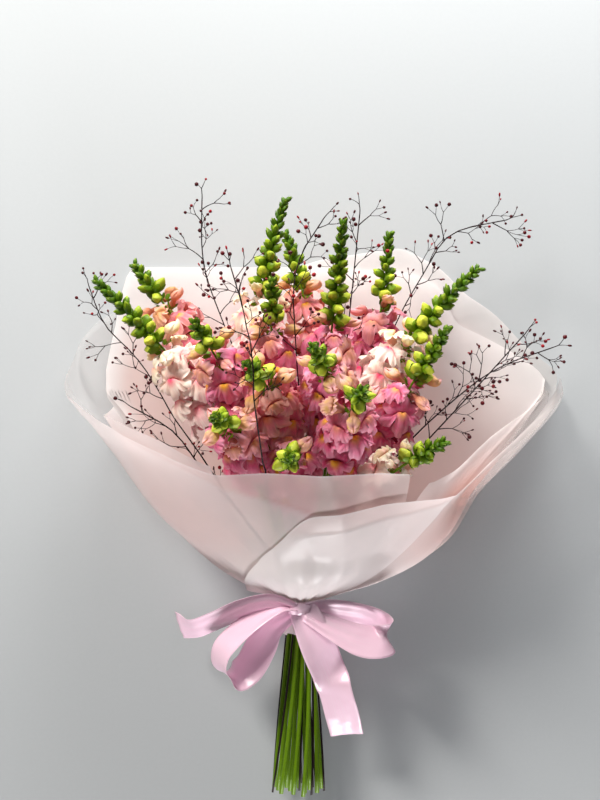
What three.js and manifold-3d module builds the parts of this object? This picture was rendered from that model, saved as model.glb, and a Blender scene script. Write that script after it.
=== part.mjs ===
// A wrapped bouquet of snapdragons, lying on its back as it lies on a table.
//
// Millimetres. +Y runs from the cut stem ends to the flower heads, +X is to the right seen from
// above, and +Z is up, which is the side that the bouquet shows. The surface it lies on is z = 0.
// While the model is built, x = 0 is at the tie and y = 0 is where the wrap opens above it. At the
// end everything is moved so that the origin is the middle of the bouquet's box, on the surface.
import * as THREE from "three";
import { mergeVertices } from "three/addons/utils/BufferGeometryUtils.js";
import Module from "manifold-3d";

const wasm = await Module();
wasm.setup();
const { Manifold, Mesh: SolidMesh } = wasm;

// Driving dimensions

const TIE_HEIGHT = 52; // of the middle of the tie above the surface
const TIE_Y = -8;
const STEM_BELOW_TIE = 207; // from the tie to the cut ends
const STEM_RADIUS = 2.3; // at the cut end
const STEM_TIP_RADIUS = 1.1;
const STEM_SIDES = 5;
const STEM_SPREAD = 1.75; // how much wider the bundle is at the cut ends than at the tie
const STEM_TWIST = 0.6; // of the bundle below the tie, in radians
const TIE_CLEARANCE = 0.35; // between stems in the tie, and to the twine
const FAN_Y = 50; // up to here the stems fan out from the tie in straight lines
const FAN_SHARE = 0.5; // of the bundle's width in the tie to its width at FAN_Y
const FAN_CLEARANCE = 4.5; // between stems at FAN_Y
const FAN_FADE = 70; // above FAN_Y, the stretch in which a stem comes back to its own line
const STEM_SWING = 0.42; // how long the bend behind a head is, as a share of the stem's reach
const STEM_LEAVING = 0.3; // how long a stem's first stretch is, as a share of its reach
const LINE_PITCH = 15; // from one point of a stem's line to the next while it is settled
const BLOOM_ROOM = 21; // that a head in bloom wants round its stem while the stems are settled
const BUD_ROOM = 11;
const STEM_ROOM = 5.2;
const SPRAY_ROOM = 5;

const FLORET_LIFT = 0.4; // of a floret's tube above square to the stem, in radians
const GOLDEN_ANGLE = 2.39996; // between one floret or bud and the next round the stem
const CORE_RADIUS = 7.5; // of the core that florets stand on
const BORE_CLEARANCE = 0.45; // between a stem and the core round it
const SMALLEST_FLORET = 0.36; // as a share of an open one
const CELL_GAP = 1.6; // between neighbouring flower heads
const SPRAY_GAP = 5; // between a floret and a spray's stem
const TWIG_GAP = 4; // between a floret and a spray's twig
const WRAP_GAP = 10; // between a floret and the wrap
const BUD_PITCH = 13; // from one bud to the next along the stem
const BUD_LENGTHS = [8, 18]; // of the top bud and of the lowest one
const BUD_RADII = [2.3, 5.5];
const LEAF_LENGTH = 36;
const LEAF_WIDTH = 9;
const LEAF_THICKNESS = 0.9;
const LEAF_BELOW_BLOOM = 42;
const CLEAR_OF_STEMS = 10; // between a twig and any other stem
const CLEAR_OF_TWIGS = 6;
const CLEAR_OF_WRAP = 8;

const SPRAY_RADIUS = 1.1; // of a spray's stem at the tie
const TWIG_RADIUS = 0.55;
const TWIG_LENGTH = 26;
const TWIG_PITCH = 30; // from one twig to the next along the spray
const SPRAY_STEP = 50; // from one station of a spray's stem to the next
const BERRY_RADIUS = 2.4;

const WRAP_THICKNESS = 0.8;
const WRAP_PITCH = 1.3; // from one sheet to the next at the tie and on the surface
const WRAP_LOOSENESS = 0.009; // how much further apart the sheets are for each mm above the tie
const WRAP_LAYERS = 5;
const WRAP_SKIRT = 38; // how far the wrap reaches below the tie
const WRAP_GATHER = 14; // how much of the skirt is gathered straight
const SKIRT_FLARE = 0.012; // how fast the rest of the skirt widens, per mm
const GATHER_RADIUS = 19.4; // inside the wrap in the tie
const BOWL_REACH = 275; // how fast the wrap widens above the tie
const BOWL_HEIGHT = 220; // the height from which its sides stand straight
const BOWL_POWER = 0.62;
const BOWL_START = 8;
const BOWL_TAPER = 0.1; // how fast the sides still widen above that height
const BOWL_DEPTH = 0.72; // of the wrap's height to its width
const BOWL_ROUND = 60; // up to this height the wrap changes from round to oval
const BOWL_LEAN = 0.05; // how far the wrap leans to the right for each mm above the tie
// How much wider or narrower one side is, as a share, and the heights between which it is so.
const RIGHT_BELLY = { share: 0.4, from: 0, full: 20, fades: 25, gone: 125 };
const LEFT_WAIST = { share: -0.08, from: 80, full: 160, fades: 190, gone: 250 };
const PLEATS = 6;
const PLEAT_DEPTH = 0.025; // as a share of the wrap's radius

const RIBBON_WIDTH = 38;
const RIBBON_THICKNESS = 1;
const TWINE_RADIUS = 0.9;
const TWINE_WIDTH = 5.4; // of its turns side by side
const TWINE_SIDES = 20;
const BAND_SIDES = 16;
const BAND_WIDTH = 11; // of the ribbon drawn together round the wrap
const BAND_THICKNESS = 1.6;
const KNOT_SIZE = [26, 17, 13];

// One row for each snapdragon: where its tip is, the way the tip points, the length that is still
// in green bud, the length in bloom, its number of florets and the colour of its petals.
const SNAPDRAGONS = [
  { tip: [-206, 333, 150], aim: [-0.72, 0.66, 0.1], bud: 92, bloom: 90, florets: 6, petal: "cream" },
  { tip: [-177, 357, 75], aim: [-0.62, 0.78, 0.05], bud: 48, bloom: 85, florets: 6, petal: "peach" },
  { tip: [-15, 419, 120], aim: [0.35, 0.93, 0.1], bud: 95, bloom: 90, florets: 6, petal: "cream" },
  { tip: [-15, 391, 60], aim: [-0.33, 0.94, 0.05], bud: 60, bloom: 85, florets: 6, petal: "peach" },
  { tip: [43, 388, 175], aim: [0.08, 0.89, 0.44], bud: 105, bloom: 90, florets: 6, petal: "pink" },
  { tip: [95, 389, 80], aim: [0.06, 1, 0.06], bud: 75, bloom: 90, florets: 6, petal: "pink" },
  { tip: [182, 347, 140], aim: [0.75, 0.66, 0.1], bud: 95, bloom: 90, florets: 6, petal: "cream" },
  { tip: [144, 282, 190], aim: [0.42, 0.72, 0.55], bud: 70, bloom: 90, florets: 6, petal: "pink" },
  { tip: [-50, 246, 262], aim: [-0.3, 0.17, 0.94], bud: 52, bloom: 90, florets: 6, petal: "peach" },
  { tip: [12, 263, 258], aim: [-0.3, 0.3, 0.9], bud: 55, bloom: 90, florets: 6, petal: "pink" },
  { tip: [-79, 196, 255], aim: [-0.18, 0.05, 0.98], bud: 46, bloom: 88, florets: 7, petal: "pink" },
  { tip: [-10, 156, 240], aim: [0, -0.12, 0.99], bud: 38, bloom: 85, florets: 6, petal: "pink" },
  { tip: [139, 172, 215], aim: [0.62, 0.35, 0.7], bud: 55, bloom: 85, florets: 6, petal: "cream" },
  { tip: [-102, 288, 212], aim: [-0.35, 0.57, 0.74], bud: 42, bloom: 90, florets: 6, petal: "pink" },
  { tip: [-27, 328, 205], aim: [0.05, 0.76, 0.65], bud: 52, bloom: 88, florets: 6, petal: "pink" },
  { tip: [58, 222, 260], aim: [0.15, 0.3, 0.94], bud: 34, bloom: 90, florets: 7, petal: "pink" },
];

// One row for each spray of dark berries: its stem from above the tie to its tip, and its twigs.
const SPRAYS = [
  {
    path: [
      [-22, 30, 62], [-75, 110, 84], [-128, 185, 98], [-152, 230, 100], [-174, 262, 104], [-206, 290, 104],
      [-220, 328, 100],
    ],
    twigs: 5,
  },
  {
    path: [[-14, 25, 44], [-56, 80, 58], [-100, 135, 84], [-128, 180, 104], [-172, 204, 112]],
    twigs: 4,
  },
  {
    path: [[-8, 60, 40], [-30, 150, 32], [-58, 235, 34], [-85, 300, 52], [-106, 360, 76], [-104, 424, 85]],
    twigs: 5,
  },
  {
    path: [[2, 50, 66], [4, 120, 100], [2, 190, 140], [-5, 270, 182], [-8, 345, 178], [22, 392, 165]],
    twigs: 4,
  },
  {
    path: [[10, 60, 50], [30, 150, 62], [46, 240, 84], [54, 323, 106], [62, 404, 110]],
    twigs: 4,
  },
  {
    path: [
      [14, 50, 36], [45, 140, 24], [80, 230, 22], [107, 304, 34], [137, 355, 55], [158, 394, 70],
      [214, 404, 76],
    ],
    twigs: 5,
  },
  {
    path: [[22, 40, 66], [68, 110, 92], [110, 168, 118], [151, 208, 134], [198, 246, 140], [250, 264, 146]],
    twigs: 5,
  },
  {
    path: [[20, 30, 50], [72, 95, 70], [122, 158, 98], [170, 211, 114], [230, 278, 118]],
    twigs: 5,
  },
  {
    path: [
      [-5, 16, 68], [-16, 55, 104], [-32, 110, 160], [-40, 190, 244], [-46, 236, 272], [-49, 286, 266],
      [-64, 334, 242],
    ],
    twigs: 5,
  },
];

// One row for each sheet of the wrap, from the inside out: its layer, the height of its rim at each
// turn in degrees, and how far its rim stands away from the bowl at some turns.
const SHEETS = [
  {
    name: "wrap_back",
    layer: 0,
    rim: [
      [105, 235], [120, 258], [144, 300], [148, 338], [157, 356], [180, 362], [228, 362], [231, 310],
      [240, 215],
    ],
    flare: [[105, 0], [240, 0]],
  },
  {
    name: "wrap_inner_left",
    layer: 1,
    rim: [
      [-150, 310], [-132, 290], [-124, 240], [-118, 206], [-90, 196], [-65, 190], [-45, 172], [-28, 150],
    ],
    flare: [[-150, 0], [-120, 0], [-105, -9], [-65, -9], [-45, -6], [-28, 0]],
  },
  {
    name: "wrap_inner_right",
    layer: 1,
    rim: [
      [40, 130], [50, 142], [54, 178], [62, 212], [75, 214], [90, 220], [105, 236], [120, 258], [143, 296],
      [150, 298],
    ],
    flare: [[40, -3], [54, -8], [90, -6], [105, 0], [150, 0]],
  },
  {
    name: "wrap_front",
    layer: 2,
    rim: [
      [-134, 318], [-126, 307], [-117, 288], [-101, 256], [-88, 237], [-70, 214], [-55, 193], [-37, 158],
      [-27, 143], [0, 142], [29, 147],
    ],
    flare: [[-134, 0], [-88, 3], [-50, 4], [-27, 0], [0, -3], [29, 2]],
  },
  {
    name: "wrap_right",
    layer: 2,
    rim: [
      [45, 112], [52, 122], [57, 168], [60, 240], [72, 226], [85, 209], [105, 228], [120, 255], [165, 290],
    ],
    flare: [[45, 4], [60, 6], [85, 10], [105, 0], [165, 0]],
  },
  {
    name: "wrap_front_low",
    layer: 3,
    rim: [[-58, 20], [-45, 33], [-25, 56], [-9, 80], [2, 101], [31, 119], [48, 129]],
    flare: [[-58, 5], [0, 1], [48, 5]],
  },
  {
    name: "wrap_back_outer",
    layer: 4,
    rim: [
      [95, 213], [105, 230], [122, 262], [130, 282], [138, 314], [146, 336], [152, 363], [162, 387],
      [180, 372], [200, 330], [215, 290],
    ],
    flare: [[95, 6], [126, 0], [215, 0]],
  },
];
// The heights above the tie at which a sheet has corners.
const SHEET_STATIONS = [-WRAP_SKIRT, -WRAP_GATHER, -2, 5, 16, 36, 68, 110, 160, 220, 300, 389];
const SHEET_STEP = 15; // in degrees

// The lowest rim that a head has to clear before it may lean out of the bowl, at each turn.
const OPENING = [
  [-180, 362], [-140, 350], [-110, 296], [-85, 278], [-70, 232], [-55, 195], [-37, 158], [-27, 143],
  [29, 147], [34, 126], [42, 136], [57, 168], [69, 214], [85, 285], [120, 300], [150, 362], [180, 362],
];
const LEANING_OUT = 8; // how far above the rim a head has to be before it may lean out

const COLOURS = {
  stem: [0x5f8f24, 0.6],
  pink: [0xee8fae, 0.55],
  cream: [0xf6ecd6, 0.55],
  peach: [0xeec0a0, 0.55],
  spray: [0x4b1620, 0.5],
  wrap: [0xf0dcd8, 0.4],
  ribbon: [0xf5b5cb, 0.3],
  twine: [0xb99b6b, 0.9],
};

// Small helpers

const vec = (x, y, z) => new THREE.Vector3(x, y, z);
const toVec = (list) => vec(...list);

function smooth(t) {
  const c = Math.min(1, Math.max(0, t));
  return c * c * (3 - 2 * c);
}

// The value at x in a list of [x, value] pairs, in straight steps.
function between(pairs, x) {
  if (x <= pairs[0][0]) return pairs[0][1];
  for (let i = 1; i < pairs.length; i++) {
    const [x1, y1] = pairs[i];
    const [x0, y0] = pairs[i - 1];
    if (x <= x1) return y0 + ((y1 - y0) * (x - x0)) / (x1 - x0);
  }
  return pairs[pairs.length - 1][1];
}

// A direction square to an axis, at a turn round it from a first direction.
function round(first, second, turn) {
  return first.clone().multiplyScalar(Math.cos(turn)).addScaledVector(second, Math.sin(turn));
}

// Solids

function solidOf(corners, faces) {
  const geometry = new THREE.BufferGeometry();
  const numbers = corners.flatMap((p) => p.toArray());
  geometry.setAttribute("position", new THREE.Float32BufferAttribute(numbers, 3));
  geometry.setIndex(faces.flat());
  return solidOfGeometry(geometry);
}

// A closed geometry as a solid. Corners in the same place are merged and flat faces dropped first,
// and a geometry that is inside out is turned.
function solidOfGeometry(geometry) {
  const bare = geometry.clone();
  for (const name of Object.keys(bare.attributes)) {
    if (name !== "position") bare.deleteAttribute(name);
  }
  const merged = mergeVertices(bare, 1e-4);
  const old = merged.index.array;
  const kept = [];
  for (let i = 0; i < old.length; i += 3) {
    const [a, b, c] = [old[i], old[i + 1], old[i + 2]];
    if (a !== b && b !== c && c !== a) kept.push([a, b, c]);
  }
  const make = (faces) =>
    new Manifold(
      new SolidMesh({
        numProp: 3,
        vertProperties: new Float32Array(merged.attributes.position.array),
        triVerts: new Uint32Array(faces.flat()),
      }),
    );
  const solid = make(kept);
  return solid.volume() > 0 ? solid : make(kept.map(([a, b, c]) => [a, c, b]));
}

function geometryOf(solid) {
  const made = solid.getMesh();
  const corners = new Float32Array(made.numVert * 3);
  for (let i = 0; i < made.numVert; i++) {
    for (let k = 0; k < 3; k++) corners[3 * i + k] = made.vertProperties[i * made.numProp + k];
  }
  const geometry = new THREE.BufferGeometry();
  geometry.setAttribute("position", new THREE.BufferAttribute(corners, 3));
  geometry.setIndex(new THREE.BufferAttribute(new Uint32Array(made.triVerts), 1));
  geometry.computeVertexNormals();
  return geometry;
}

// The solids joined into one. A scrap that hangs loose is dropped.
function fuse(solids) {
  const bodies = Manifold.union(solids).simplify(0.06).decompose();
  return bodies.reduce((a, b) => (b.volume() > a.volume() ? b : a));
}

// A solid skinned over rings of points. Each ring is a list of [turn, point] in rising turns, and a
// ring of one point is a sharp end. The first and last rings are closed.
function loft(rings) {
  const corners = [];
  const numbered = rings.map((ring) =>
    ring.map(([turn, point]) => {
      corners.push(point);
      return { turn, number: corners.length - 1 };
    }),
  );
  const faces = [];
  const turnAfter = (ring, i) => {
    if (ring.length === 1 || i >= ring.length) return Infinity;
    return i + 1 < ring.length ? ring[i + 1].turn : ring[0].turn + 360;
  };
  for (let r = 1; r < numbered.length; r++) {
    const [a, b] = [numbered[r - 1], numbered[r]];
    let i = 0;
    let j = 0;
    while (turnAfter(a, i) < Infinity || turnAfter(b, j) < Infinity) {
      const [a0, b0] = [a[i % a.length].number, b[j % b.length].number];
      if (turnAfter(b, j) <= turnAfter(a, i)) {
        faces.push([a0, b0, b[(j + 1) % b.length].number]);
        j += 1;
      } else {
        faces.push([a0, b0, a[(i + 1) % a.length].number]);
        i += 1;
      }
    }
  }
  const first = numbered[0];
  const last = numbered[numbered.length - 1];
  for (let k = 1; k + 1 < first.length; k++) {
    faces.push([first[0].number, first[k].number, first[k + 1].number]);
  }
  for (let k = 1; k + 1 < last.length; k++) {
    faces.push([last[0].number, last[k + 1].number, last[k].number]);
  }
  return solidOf(corners, faces);
}

// A regular ring of points round a centre.
function ringRound(centre, first, second, radius, sides) {
  return Array.from({ length: sides }, (_, k) => {
    const turn = (2 * Math.PI * k) / sides;
    return [(360 * k) / sides, centre.clone().addScaledVector(round(first, second, turn), radius)];
  });
}

// Lines and stalks

// The points at some distances from the last point of a line.
function pointsFromTip(line, distances) {
  const total = lengthOf(line);
  return distances.map((distance) => {
    let left = Math.max(0, total - distance);
    for (let i = 1; i < line.length; i++) {
      const step = line[i].distanceTo(line[i - 1]);
      const isLast = i === line.length - 1;
      if (left <= step || isLast) return line[i - 1].clone().lerp(line[i], left / step);
      left -= step;
    }
    return line[0].clone();
  });
}

function lengthOf(line) {
  let total = 0;
  for (let i = 1; i < line.length; i++) total += line[i].distanceTo(line[i - 1]);
  return total;
}

function evenSteps(line, pitch) {
  const total = lengthOf(line);
  const steps = Math.max(2, Math.round(total / pitch));
  const distances = Array.from({ length: steps + 1 }, (_, i) => (total * (steps - i)) / steps);
  return pointsFromTip(line, distances);
}

// A line with its corners cut off twice, and its ends kept.
function rounded(points) {
  let line = points;
  for (let cut = 0; cut < 2; cut++) {
    const next = [line[0]];
    for (let i = 1; i < line.length; i++) {
      if (i > 1) next.push(line[i - 1].clone().lerp(line[i], 0.25));
      if (i < line.length - 1) next.push(line[i - 1].clone().lerp(line[i], 0.75));
    }
    next.push(line[line.length - 1]);
    line = next;
  }
  return line;
}

function distanceToLine(p, line) {
  let best = Infinity;
  const step = new THREE.Line3();
  const near = vec(0, 0, 0);
  for (let i = 1; i < line.length; i++) {
    step.set(line[i - 1], line[i]).closestPointToPoint(p, true, near);
    best = Math.min(best, near.distanceTo(p));
  }
  return best;
}

// A stalk is a line with, at each point, the way along it and two directions across.
class Stalk {
  constructor(points) {
    this.points = points;
    this.along = points.map((_, i) => {
      const before = points[Math.max(0, i - 1)];
      const after = points[Math.min(points.length - 1, i + 1)];
      return after.clone().sub(before).normalize();
    });
    let side = vec(1, 0.2, 0.1);
    this.side = this.along.map((t) => {
      side = side.clone().addScaledVector(t, -side.dot(t)).normalize();
      return side;
    });
    this.lift = this.along.map((t, i) => t.clone().cross(this.side[i]));
    this.total = lengthOf(points);
  }

  // The place and directions at a distance from the tip.
  fromTip(distance) {
    let left = Math.max(0, this.total - distance);
    let i = 1;
    while (i < this.points.length - 1 && left > this.points[i].distanceTo(this.points[i - 1])) {
      left -= this.points[i].distanceTo(this.points[i - 1]);
      i += 1;
    }
    const share = Math.min(1, left / this.points[i].distanceTo(this.points[i - 1]));
    const mix = (list) => list[i - 1].clone().lerp(list[i], share);
    return {
      place: mix(this.points),
      along: mix(this.along).normalize(),
      side: mix(this.side).normalize(),
      lift: mix(this.lift).normalize(),
    };
  }

  tube(radiusAt, sides, from = 0, to = this.points.length - 1) {
    const rings = [];
    for (let i = from; i <= to; i++) {
      rings.push(ringRound(this.points[i], this.side[i], this.lift[i], radiusAt(i), sides));
    }
    return loft(rings);
  }
}

// The wrap's bowl

function bowlWidth(h) {
  if (h <= 0) return GATHER_RADIUS + SKIRT_FLARE * Math.max(0, -h - WRAP_GATHER) ** 2;
  const rise = (at) => BOWL_REACH * ((at + BOWL_START) / BOWL_HEIGHT) ** BOWL_POWER;
  const straight = BOWL_TAPER * Math.max(0, h - BOWL_HEIGHT);
  return GATHER_RADIUS + rise(Math.min(h, BOWL_HEIGHT)) - rise(0) + straight;
}

function bowlDepth(h) {
  return bowlWidth(h) * (1 - (1 - BOWL_DEPTH) * smooth(h / BOWL_ROUND));
}

// How much wider the wrap is at a height than its round shape, at a place whose turn from the top
// has a certain sine. It bellies out low down on the right and is drawn in on the left.
function bowlSide(h, sine) {
  const { share, from, full, fades, gone } = sine > 0 ? RIGHT_BELLY : LEFT_WAIST;
  const swell = smooth((h - from) / (full - from)) * (1 - smooth((h - fades) / (gone - fades)));
  return 1 + share * swell * sine ** 2;
}

function bowlSlope(h) {
  if (h <= 0) return -2 * SKIRT_FLARE * Math.max(0, -h - WRAP_GATHER);
  if (h > BOWL_HEIGHT) return BOWL_TAPER;
  const share = (h + BOWL_START) / BOWL_HEIGHT;
  return ((BOWL_REACH * BOWL_POWER) / BOWL_HEIGHT) * share ** (BOWL_POWER - 1);
}

// A share that grows to 1 and stays there, with a soft corner.
function level(x) {
  const soft = 0.3;
  if (x < 1 - soft) return x;
  return x > 1 + soft ? 1 : x - (x - 1 + soft) ** 2 / (4 * soft);
}

// A place on the wrap: the turn round the tie from the top, in degrees and positive to the right,
// the height above the tie, the sheet's layer, its flare and the depth into its thickness.
function onWrap(turn, h, layer, flare, face) {
  const t = THREE.MathUtils.degToRad(turn);
  const slope = bowlSlope(h);
  const outward = 1 / Math.hypot(1, slope);
  const off = layer * (WRAP_PITCH + WRAP_LOOSENESS * Math.max(0, h)) + flare + face;
  const pleat = 1 + PLEAT_DEPTH * Math.cos(PLEATS * t + 0.5) * smooth((h + 10) / 40);
  const wide = bowlWidth(h) * bowlSide(h, Math.sin(t)) * pleat + off * outward;
  const deep = bowlDepth(h) * pleat + off * outward;
  const y = h - off * slope * outward;
  const x = wide * Math.sin(t) + BOWL_LEAN * Math.max(0, h);
  if (Math.cos(t) >= 0) return vec(x, y, TIE_HEIGHT + deep * Math.cos(t));
  const floor = (WRAP_LAYERS - 1 - layer) * WRAP_PITCH + WRAP_THICKNESS - face;
  const room = TIE_HEIGHT - floor;
  return vec(x, y, TIE_HEIGHT - room * level((deep * -Math.cos(t)) / room));
}

// Whether a place inside the bowl keeps a gap to the wrap.
function insideWrap(p, gap) {
  if (p.z < (WRAP_LAYERS + 2) * WRAP_PITCH || p.y < LEANING_OUT) return false;
  const x = p.x - BOWL_LEAN * p.y;
  const turn = THREE.MathUtils.radToDeg(Math.atan2(x, p.z - TIE_HEIGHT));
  if (p.y > between(OPENING, turn) + LEANING_OUT) return true;
  const round = bowlWidth(p.y);
  const wide = round * bowlSide(p.y, Math.max(-1, Math.min(1, x / round))) - gap;
  const deep = bowlDepth(p.y) - gap;
  return (x / wide) ** 2 + ((p.z - TIE_HEIGHT) / deep) ** 2 < 1;
}

// The bundle in the tie

// Moves round things on a plane apart until there is a gap between them, and draws them in if they
// are to lie side by side.
function spread(places, gap, drawIn) {
  for (let turn = 0; turn < 400; turn++) {
    for (const p of places) {
      p.x *= drawIn;
      p.z *= drawIn;
    }
    for (let i = 0; i < places.length; i++) {
      for (let j = i + 1; j < places.length; j++) {
        const [a, b] = [places[i], places[j]];
        const [dx, dz] = [b.x - a.x, b.z - a.z];
        const apart = Math.max(1e-6, Math.hypot(dx, dz));
        const short = a.radius + b.radius + gap - apart;
        if (short <= 0) continue;
        a.x -= (dx / apart) * short * 0.5;
        a.z -= (dz / apart) * short * 0.5;
        b.x += (dx / apart) * short * 0.5;
        b.z += (dz / apart) * short * 0.5;
      }
    }
  }
  return places;
}

const tips = SNAPDRAGONS.map((row) => toVec(row.tip));
const aims = SNAPDRAGONS.map((row) => toVec(row.aim).normalize());
const bends = tips.map((tip, i) => {
  const reach = tip.distanceTo(vec(0, 0, TIE_HEIGHT));
  return tip.clone().addScaledVector(aims[i], -STEM_SWING * reach);
});
const start = vec(0, TIE_Y, TIE_HEIGHT);

// The lines of the stems and sprays above the tie. At first they all start from its middle.

function headLine(i) {
  const reach = start.distanceTo(tips[i]);
  const leave = bends[i].clone().sub(start).normalize().add(vec(0, 0.5, 0)).normalize();
  const leaving = start.clone().addScaledVector(leave, STEM_LEAVING * reach);
  const curve = new THREE.CubicBezierCurve3(start, leaving, bends[i], tips[i]);
  return evenSteps(curve.getPoints(80), LINE_PITCH);
}

function sprayLine(i) {
  return evenSteps(rounded([start, ...SPRAYS[i].path.map(toVec)]), LINE_PITCH);
}

// How much room each point of a line wants round it, and how far it is free to move.
function headNeeds(points, row) {
  const total = lengthOf(points);
  const pitch = total / (points.length - 1);
  return points.map((_, k) => {
    const fromTip = total - k * pitch;
    const belowBuds = fromTip < row.bud + row.bloom ? BLOOM_ROOM : STEM_ROOM;
    return {
      room: fromTip <= row.bud ? BUD_ROOM : belowBuds,
      free: smooth((fromTip - 0.6 * row.bud) / 60) * smooth((k * pitch) / 30),
    };
  });
}

function sprayNeeds(points) {
  const last = points.length - 1;
  return points.map((_, k) => ({ room: SPRAY_ROOM, free: smooth((last - k) / 6) * smooth(k / 2) }));
}

// Moves a place a little away from the wrap.
function intoBowl(p, share) {
  const inward = 1 - 0.02 * share;
  p.set(p.x * inward, p.y + 0.5 * share, TIE_HEIGHT + (p.z - TIE_HEIGHT) * inward);
}

// Pushes lines that crowd each other apart and keeps them clear of the wrap. A spray gives way to a
// head, and never the other way.
function settle(lines) {
  for (let turn = 0; turn < 60; turn++) {
    const moves = lines.map(({ points, needs, head }, i) => {
      const raw = points.map((p, k) => {
        const move = vec(0, 0, 0);
        if (needs[k].free === 0) return move;
        for (let j = 0; j < lines.length; j++) {
          if (j === i || (head && !lines[j].head)) continue;
          lines[j].points.forEach((q, m) => {
            const want = needs[k].room + lines[j].needs[m].room;
            const apart = p.distanceTo(q);
            if (apart >= want) return;
            const push = (0.12 * (want - apart)) / Math.max(1, apart);
            move.addScaledVector(p.clone().sub(q), push);
          });
        }
        return move;
      });
      return raw.map((move, k) => {
        const before = raw[Math.max(0, k - 1)];
        const after = raw[Math.min(raw.length - 1, k + 1)];
        return move.clone().add(before).add(after).multiplyScalar(needs[k].free / 3);
      });
    });
    lines.forEach(({ points, needs }, i) => {
      points.forEach((p, k) => {
        p.add(moves[i][k]);
        if (p.y > FAN_Y && !insideWrap(p, needs[k].room)) intoBowl(p, needs[k].free);
      });
    });
  }
}

const lines = [
  ...SNAPDRAGONS.map((row, i) => {
    const points = headLine(i);
    return { points, needs: headNeeds(points, row), head: true };
  }),
  ...SPRAYS.map((_, i) => {
    const points = sprayLine(i);
    return { points, needs: sprayNeeds(points), head: false };
  }),
];
settle(lines);

// The part of each line that is above the straight fan, with its start where it crosses FAN_Y.
function aboveFan(points) {
  const first = points.findIndex((p) => p.y > FAN_Y);
  const before = points[first - 1];
  const share = (FAN_Y - before.y) / (points[first].y - before.y);
  return [before.clone().lerp(points[first], share), ...points.slice(first)];
}

// Where the stems cross FAN_Y they are set apart first, and their places in the tie follow from
// that, so that no two cross in between.
const fanned = lines.map(({ points }) => aboveFan(points));
const radii = fanned.map((_, i) => (i < SNAPDRAGONS.length ? STEM_RADIUS : SPRAY_RADIUS));
const fan = spread(
  fanned.map(([p], i) => ({ x: p.x, z: p.z - TIE_HEIGHT, radius: radii[i] })),
  FAN_CLEARANCE,
  1,
);
fanned.forEach((points, i) => {
  const shift = vec(fan[i].x - points[0].x, 0, fan[i].z + TIE_HEIGHT - points[0].z);
  const from = points[0].y;
  for (const p of points) p.addScaledVector(shift, 1 - smooth((p.y - from) / FAN_FADE));
});
const places = spread(
  fan.map(({ x, z, radius }) => ({ x: x * FAN_SHARE, z: z * FAN_SHARE, radius })),
  TIE_CLEARANCE,
  0.998,
);
const bundleRadius = Math.max(...places.map((p) => Math.hypot(p.x, p.z) + p.radius));
const lowestPlace = (() => {
  const turned = places.map((p) => {
    const z = p.x * Math.sin(STEM_TWIST) + p.z * Math.cos(STEM_TWIST);
    return z * (1 + STEM_SPREAD) - p.radius;
  });
  return Math.min(...turned);
})();
const bundleDrop = TIE_HEIGHT + lowestPlace; // of the bundle's middle between the tie and its ends

// Where a stem lies at a distance below the tie. The bundle widens and twists as one, so no stem
// crosses another, and its lowest cut end is on the surface.
function belowTie(place, distance) {
  const share = distance / STEM_BELOW_TIE;
  const wide = 1 + STEM_SPREAD * share;
  const turn = STEM_TWIST * share;
  const x = (place.x * Math.cos(turn) - place.z * Math.sin(turn)) * wide;
  const z = (place.x * Math.sin(turn) + place.z * Math.cos(turn)) * wide;
  return vec(x, TIE_Y - distance, TIE_HEIGHT + z - bundleDrop * share);
}

const inTie = (place) => vec(place.x, TIE_Y, TIE_HEIGHT + place.z);

// The stations of a snapdragon's stem, as distances from the tip.
function headStations({ bud, bloom }, length) {
  const rest = length - bud - bloom;
  return [length, bud + bloom + rest / 2, bud + bloom, bud + bloom / 2, bud, bud / 2, 0];
}

const FIRST_ABOVE = 1; // the number of the station in the tie
const headStalks = SNAPDRAGONS.map((row, i) => {
  const above = pointsFromTip(fanned[i], headStations(row, lengthOf(fanned[i])));
  return new Stalk([belowTie(places[i], STEM_BELOW_TIE), inTie(places[i]), ...above]);
});
const sprayStalks = SPRAYS.map((_, i) => {
  const number = SNAPDRAGONS.length + i;
  const above = evenSteps(fanned[number], SPRAY_STEP);
  return new Stalk([belowTie(places[number], STEM_BELOW_TIE), inTie(places[number]), ...above]);
});
const headLines = headStalks.map((stalk) => stalk.points.slice(FIRST_ABOVE));
const sprayLines = sprayStalks.map((stalk) => stalk.points.slice(FIRST_ABOVE));

// The twigs of the sprays

function twigAt(stalk, distance, turn, length) {
  const { place, along, side, lift } = stalk.fromTip(distance);
  const way = along.clone().multiplyScalar(0.66).addScaledVector(round(side, lift, turn), 0.75);
  return { root: place, tip: place.clone().addScaledVector(way, length) };
}

const twigs = []; // each with the number of the spray that carries it
function twigIsClear({ root, tip }, spray) {
  return [0.4, 0.7, 1].every((share) => {
    const p = root.clone().lerp(tip, share);
    return (
      insideWrap(p, CLEAR_OF_WRAP) &&
      headLines.every((line) => distanceToLine(p, line) > CLEAR_OF_STEMS) &&
      sprayLines.every((line, i) => i === spray || distanceToLine(p, line) > CLEAR_OF_TWIGS) &&
      twigs.every((other) => distanceToLine(p, [other.root, other.tip]) > CLEAR_OF_TWIGS)
    );
  });
}

SPRAYS.forEach((row, spray) => {
  const made = [];
  for (let k = 0; k < row.twigs; k++) {
    const length = TWIG_LENGTH * (0.75 + 0.3 * ((k * 0.618) % 1));
    for (let attempt = 0; attempt < 8; attempt++) {
      const turn = k * GOLDEN_ANGLE + attempt * 0.8;
      const twig = twigAt(sprayStalks[spray], 6 + k * TWIG_PITCH, turn, length);
      if (!twigIsClear(twig, spray)) continue;
      made.push({ ...twig, spray });
      break;
    }
  }
  twigs.push(...made);
});

// Florets, buds and leaves

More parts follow.
